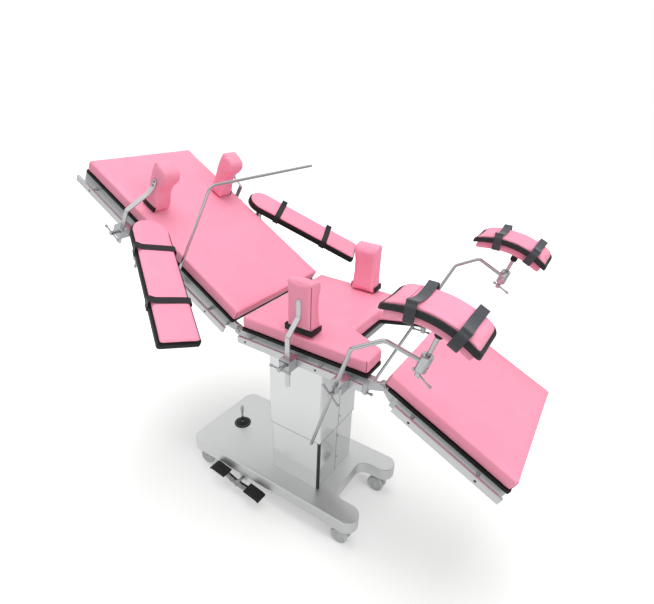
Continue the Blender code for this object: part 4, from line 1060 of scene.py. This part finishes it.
def makeScreenRod(look):
    x, top = onBack(look["start"]), backShape["top"] + look["elbow"]
    line = bentLine([(x, -look["y"], look["low"]), (x, -look["y"], top), (x, look["reach"] - look["y"], top)],
        look["bend"], 14)
    rod = tubeAlong("screen_tube", line, look["radius"], 6)
    ends = []
    for end, towards in ((line[0], line[1]), (line[-1], line[-2])):
        turn = Vector((0, 0, 1)).rotation_difference(end - towards).to_matrix().to_4x4()
        cap = turnedPiece("cap", [(0, 0.0008), (0.004, 0.0006), (0.0050, -0.0004), (0.0050, -0.002), (0, -0.002)], 24)
        ends.append(carry(cap, Matrix.Translation(end) @ turn))
    rod = joinPieces("screen_tube", [rod] + ends)
    fit(carry(rod, backFrame), chromePlate, "screen_rod", ("screen_rod",))


makeScreenRod(screenLook)


# Base: satin cover with a rounded top edge, caster heads, pedal bearings, the lift ram's barrel

baseLook = {
    "top": 0.160, "under": 0.105, "head": -0.5394, "foot": 0.3241, "half": 0.2087, "slotStart": 0.1843,
    "slotHalf": 0.113, "wall": 0.003, "corner": 0.045, "edge": 0.0045,
    "cheek": [(-0.016, -0.016), (0.016, -0.016), (0.020, 0.046), (-0.020, 0.046)],
    "cap": [
        (0, 0.044), (0.0255, 0.044), (0.026, 0.0450), (0.026, 0.0475), (0.0245, 0.0500), (0.020, 0.052),
        (0.011, 0.0532), (0, 0.0532),
    ],
    "plate": [(-0.020, -0.017), (0.020, -0.017), (0.020, 0.081), (-0.020, 0.081)], "plateGaps": (0.0122, 0.0787),
    "barrel": [
        (0.0256, 0.170), (0.034, 0.162), (0.034, 0.547), (0.032, 0.549), (0.0266, 0.549), (0.0256, 0.548),
        (0.0256, 0.170),
    ],
}


def baseLine(inset, steps=14):
    b = baseLook
    head, foot, half = b["head"] + inset, b["foot"] - inset, b["half"] - inset
    slot, inner = b["slotHalf"] + inset, b["slotStart"] - inset
    corners = [(head, -half), (foot, -half), (foot, -slot), (inner, -slot)]
    corners += [(x, -y) for x, y in reversed(corners)]
    prong, throat, corner = (half - slot) / 2 - 0.0008, b["corner"] + inset, b["corner"] - inset
    return roundedOutline(corners, [corner, prong, prong, throat, throat, prong, prong, corner], steps)


def bevelTop(piece, top, width, segments=5):
    bm = bmesh.new()
    bm.from_mesh(piece.data)
    edges = [edge for edge in bm.edges if all(abs(v.co.z - top) < 0.00001 for v in edge.verts)]
    bmesh.ops.bevel(bm, geom=edges, offset=width, segments=segments, affect="EDGES", profile=0.5)
    bm.to_mesh(piece.data)
    bm.free()


def makeBase(look):
    cover = prismOf("base_shell", baseLine(0.0), look["under"], look["top"])
    bevelTop(cover, look["top"], look["edge"])
    hollow = prismOf("hollow", baseLine(look["wall"]), look["under"] - 0.01, look["top"] - look["wall"])
    cover = cutAway(cover, hollow)
    fit(carry(cover, seatFrame), baseSheet, "base", ("base_cover",), 30)
    heads = []
    for name in casters:
        place = Vector(joints[name + "_roll"]["pos_m"])
        cheek = roundedOutline(look["cheek"], [0.014, 0.014, 0, 0], 10)
        cheek = bevelEdges(prismOf("cheek", cheek, -0.006, 0.006, "y"), 0.001, 2, 50)
        cap = turnedPiece("cap", look["cap"], 48)
        stemRod = rodBetween("stem", (0, 0, 0.050), (0, 0, look["top"] - look["wall"] - place.z), 0.009, 24)
        axle = rodBetween("axle", (0, -0.0068, 0), (0, 0.0068, 0), 0.009, 24)
        heads.append(carry(joinPieces("head", [cheek, cap, stemRod, axle]), Matrix.Translation(place)))
    fit(joinPieces("caster_heads", heads), hoodPlastic, "base")
    pedal = Vector(joints["brake_rocker_tilt"]["pos_m"])
    bearings = []
    for y in (-look["half"] + gap for gap in look["plateGaps"]):
        plate = roundedOutline(look["plate"], [0.014, 0.014, 0, 0], 8)
        plate = prismOf("plate", plate, y, y + 0.006, "y")
        bearings.append(carry(plate, Matrix.Translation((pedal.x, 0, pedal.z))))
    fit(bevelEdges(joinPieces("pedal_bearings", bearings), 0.0008, 2, 50), frameSteel, "base")
    fit(carry(turnedPiece("ram_barrel", look["barrel"], 48), seatFrame), frameSteel, "base")


makeBase(baseLook)
print("base dressed")


# Wheels: twin grey tyres on a dished hub

wheelLook = {"radius": 0.0375, "hub": 0.010}


def makeWheel(name, look):
    r = look["radius"]
    half = [
        (look["hub"], 0.0072), (0.0335, 0.0076), (0.0352, 0.0086), (0.0362, 0.0102), (r - 0.0003, 0.0120),
        (r, 0.0136), (r, 0.0190), (r - 0.0004, 0.0212), (0.0362, 0.0232), (0.0345, 0.0252), (0.0325, 0.0266),
        (0.0310, 0.0270), (0.0300, 0.0262), (0.0285, 0.0240), (0.0200, 0.0225), (0.0120, 0.0228), (0.0100, 0.0246),
        (0.0085, 0.0252), (0, 0.0252),
    ]
    wheels = []
    for sign in (1, -1):
        disc = turnedPiece("disc", [(0, 0.0072)] + half, 64)
        wheels.append(carry(disc, turnBy(-90 * sign, "X")))
    wheel = joinPieces(name.replace("wheel", "tyre"), wheels)
    place = Matrix.Translation(Vector(joints[name + "_roll"]["pos_m"]))
    fit(carry(wheel, place), tyreRubber, name, (name,), 40)


for name in casters:
    makeWheel(name, wheelLook)


# Brake rocker: wavy painted bar, two ribbed treads, shaft

rockerLook = {
    "tilt": 8.0, "in": 0.230, "out": 0.245, "treadIn": 0.2125, "treadOut": 0.264, "ribs": 9, "treadAt": 0.0975,
    "treadTop": 0.0222, "treadThick": 0.0072, "rib": 0.0011,
}


def treadCurl(outward):    # the tread's outer third bends down
    return -0.0060 * max(0.0, (outward - 0.022) / 0.019) ** 2


def treadOf(look, sign, reach=0.041):
    middle, count = sign * look["treadAt"], look["ribs"] * 6
    line = []
    for k in range(count + 1):
        u = -reach + 2 * reach * k / count
        rib = look["rib"] * (0.5 + 0.5 * math.cos(2 * math.pi * (k / 6 + 0.5)))
        line.append((middle + u, look["treadTop"] + treadCurl(u * sign) + rib))
    low = look["treadThick"]
    under = [(x, look["treadTop"] + treadCurl((x - middle) * sign) - low) for x, height in reversed(line[::3])]
    tread = prismOf("tread", line + under, -look["treadOut"], -look["treadIn"], "y")
    return bevelEdges(tread, 0.0009, 2, 65)


def makeRocker(look):
    pedal = Vector(joints["brake_rocker_tilt"]["pos_m"])
    place = Matrix.Translation((pedal.x, 0, pedal.z)) @ turnBy(look["tilt"], "Y")
    top = smoothLine([
        (-0.1345, 0.0148), (-0.100, 0.0148), (-0.070, 0.0146), (-0.052, 0.0085), (-0.038, 0.0008), (-0.026, 0.0),
        (-0.014, 0.0045), (-0.006, 0.0118), (0.0, 0.0130), (0.006, 0.0118), (0.014, 0.0045), (0.026, 0.0),
        (0.038, 0.0008), (0.052, 0.0085), (0.070, 0.0146), (0.100, 0.0148), (0.1345, 0.0148),
    ], 5)
    low = [(x, z - 0.0085 - 0.0165 * math.exp(-(x / 0.013) ** 2)) for x, z in reversed(top)]
    bar = bevelEdges(prismOf("rocker_bar", top + low, -look["out"], -look["in"], "y"), 0.0018, 3, 50)
    fit(carry(bar, place), rockerPaint, "brake_rocker", ("brake_rocker",))
    shaft = rodBetween("shaft", (0, -look["out"] - 0.005, 0), (0, -0.120, 0), 0.008, 32)
    fit(carry(bevelEdges(shaft, 0.001, 2, 50), place), castChrome, "brake_rocker")
    link = roundedOutline([
        (-0.100, 0.0100), (-0.012, -0.0040), (0.012, -0.0040), (0.100, 0.0100), (0.100, 0.0145), (0.012, 0.0050),
        (-0.012, 0.0050), (-0.100, 0.0145),
    ], 0.0015, 2)
    link = bevelEdges(prismOf("rocker_link", link, -look["in"] + 0.0004, -look["in"] + 0.0074, "y"), 0.0008, 2, 50)
    fit(carry(link, place), treadRubber, "brake_rocker")
    treads = [treadOf(look, sign) for sign in (-1, 1)]
    fit(carry(joinPieces("rocker_treads", treads), place), treadRubber, "brake_rocker", (), 50)


makeRocker(rockerLook)


# Joystick: chrome stick in a rubber boot

joystickLook = {
    "ball": 0.0077,
    "stick": [
        (0.0058, 0.008), (0.0054, 0.056), (0.0064, 0.0600), (0.0077, 0.064), (0.0080, 0.068), (0.0080, 0.085),
        (0.0074, 0.0890), (0.0054, 0.0923), (0.0027, 0.0938), (0, 0.094),
    ],
    "boot": [
        (0.0085, 0.0116), (0.0100, 0.0120), (0.0165, 0.0120), (0.0180, 0.0112), (0.0200, 0.0092), (0.0260, 0.0086),
        (0.0285, 0.0076), (0.0310, 0.0048), (0.0370, 0.0034), (0.0388, 0.0022), (0.0388, 0.0002), (0.0085, 0.0002),
        (0.0085, 0.0116),
    ],
    "ring": [(0.0322, 0.0043), (0.0325, 0.0049), (0.0331, 0.0048), (0.0334, 0.0040), (0.0322, 0.0043)],
}


def makeJoystick(look):
    place = Matrix.Translation(Vector(joints["joystick_tilt"]["pos_m"]))
    turns = [math.pi * k / 16 for k in range(13)]
    ball = [(look["ball"] * math.sin(turn), look["ball"] * -math.cos(turn)) for turn in turns]
    stick = carry(turnedPiece("joystick_stick", ball + look["stick"], 48), place)
    fit(stick, chromePlate, "joystick", ("joystick",), 50)
    seat = Matrix.Translation((place.translation.x, 0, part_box("joystick_boot")[0].z))
    boot = carry(turnedPiece("joystick_gaiter", look["boot"], 64), seat)
    fit(boot, treadRubber, "base", ("joystick_boot",), 50)
    ring = carry(turnedPiece("joystick_ring", look["ring"], 64), seat)
    fit(ring, rockerPaint, "base", (), 50)


makeJoystick(joystickLook)
print("wheels, rocker and joystick dressed")


# Column: two telescoping sheet covers

columnLook = {
    "x": 0.1234, "y": 0.135, "corner": 0.009, "wall": 0.002, "roof": 0.005, "inset": 0.0042,
    "groove": 0.0014, "grooveDeep": 0.0008, "screwY": 0.009,
    "screws": {"seat": (0.790, 0.690, 0.560, 0.450), "base": (0.345, 0.230)},
}
past = 0.01    # how far a cutting piece reaches beyond what it cuts


def columnCover(name, inset, low, high, openTop):
    c = columnLook
    x, y = c["x"] - inset, c["y"] - inset
    shell = prismOf(name, roundedOutline(rectangleOf((-x, -y), (x, y)), c["corner"], 8), low, high)
    x, y = x - c["wall"], y - c["wall"]
    ends = (low - past, high + past) if openTop else (low - past, high - c["roof"])
    hollow = prismOf("hollow", roundedOutline(rectangleOf((-x, -y), (x, y)), c["corner"] - c["wall"], 8), *ends)
    return cutAway(shell, hollow)


def makeColumn():
    low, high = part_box("column_upper")[0].z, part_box("column_upper")[1].z
    upper = columnCover("column_cover_upper", 0.0, low, high, False)
    face, half = columnLook["x"], columnLook["groove"] / 2
    groove = rectangleOf((face - columnLook["grooveDeep"], -half), (face + past, half))
    upper = cutAway(upper, prismOf("groove", groove, low - past, high + past))
    fit(carry(upper, seatFrame), columnSheet, "seat", ("column_upper",), 30)
    low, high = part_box("column_lower")[0].z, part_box("column_lower")[1].z
    lower = columnCover("column_cover_lower", columnLook["inset"], low, high, True)
    fit(carry(lower, seatFrame), columnSheet, "base", ("column_lower",), 30)


def coverLine(grow):    # the upper cover's outline, a little larger or smaller
    x, y = columnLook["x"] + grow, columnLook["y"] + grow
    return roundedOutline(rectangleOf((-x, -y), (x, y)), columnLook["corner"] + grow, 8)


def makeColumnTrim():    # corner strip on the lower cover, dark as a painted reflection of the rounded corner; small screws down the foot-side seam
    c = columnLook
    x, y = c["x"] - c["inset"], c["y"] - c["inset"]
    low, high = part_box("column_lower")[0].z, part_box("column_upper")[0].z
    strip = [
        (x - 0.0095, -y - 0.0006), (x + 0.0006, -y - 0.0006), (x + 0.0006, -y + 0.0095), (x - 0.0004, -y + 0.0095),
        (x - 0.0004, -y + 0.0004), (x - 0.0095, -y + 0.0004),
    ]
    strip = roundedOutline(strip, [0, c["corner"], 0, 0, c["corner"] - 0.001, 0], 8)
    # The corner strip is a painted reflection: a dark sheet where the rounded corner only mirrors darker surroundings.
    fit(carry(prismOf("column_corner_painted_reflection", strip, low, high - 0.001), seatFrame), blackenedSteelAndPaintedReflection, "base")
    rim = prismOf("column_rim", coverLine(0.0007), high + 0.0002, high + 0.0024)
    rim = cutAway(rim, prismOf("inner", coverLine(-0.001), high - past, high + past))
    fit(carry(rim, seatFrame), frameSteel, "seat")
    seams = {
        "seat": (c["x"], (high + 0.003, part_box("column_upper")[1].z - 0.002)),
        "base": (x, (low + 0.001, high - 0.001)),
    }
    for body, (face, ends) in seams.items():
        seam = prismOf("column_seam_" + body, rectangleOf((face - 0.0002, -0.0010), (face + 0.0002, 0.0010)), *ends)
        fit(carry(seam, seatFrame), blackenedSteelAndPaintedReflection, body)
    for body, (face, ends) in seams.items():
        spots = [(face, c["screwY"], height) for height in c["screws"][body]]
        screws = [screwHead("column", spot, turnBy(90, "Y"), 20) for spot in spots]
        fit(carry(joinPieces("column_screws_" + body, screws), seatFrame), blackenedSteelAndPaintedReflection, body)


makeColumn()
makeColumnTrim()
print("column dressed")


# Countersunk screws in the accessory rails, over their spacers

screwSpots = {
    "seat": (seatFrame, (-0.105, 0.185)), "back": (backFrame, (onBack(0.110), onBack(0.790))),
    "leg": (legFrame, (0.120, 0.350)),
}


def makeRailScrews(part, matrix, spots, name, side):
    rail = frame["nodes"][part + "_rail_" + name]
    corners = [matrix.inverted() @ vertex.co for vertex in rail.data.vertices]
    face = max(side * corner.y for corner in corners)
    middle = (min(corner.z for corner in corners) + max(corner.z for corner in corners)) / 2
    screws = [screwHead("rail", (spot, side * face, middle), turnBy(-90 * side, "X")) for spot in spots]
    screws = carry(joinPieces(part + "_rail_screws_" + name, screws), matrix)
    fit(screws, blackenedSteelAndPaintedReflection, part)


for part, (matrix, spots) in screwSpots.items():
    for name, side in sides.items():
        makeRailScrews(part, matrix, spots, name, side)
print("rail screws set")


# CAD nodes that keep their shape get their materials

clampKinds = ("armboard_bracket_", "shoulder_clamp_", "hip_clamp_", "leg_clamp_", "leg_lock_")
keptNodes = [
    (frameSteel, ["seat_frame", "back_frame", "leg_frame"]),
    (railSteel, [part + "_rail_" + name for part in ("seat", "back", "leg") for name in sides]),
    (boardPlastic, ["seat_board", "back_board", "leg_board"]),
    (castChrome, [kind + name for name in sides for kind in clampKinds] + ["screen_clamp"]),
    (chromePlate, ["lift_ram"]),
]
for material, nodes in keptNodes:
    for node in nodes:
        piece = frame["nodes"][node]
        piece.data.materials.clear()
        piece.data.materials.append(material)
print("kept nodes painted")
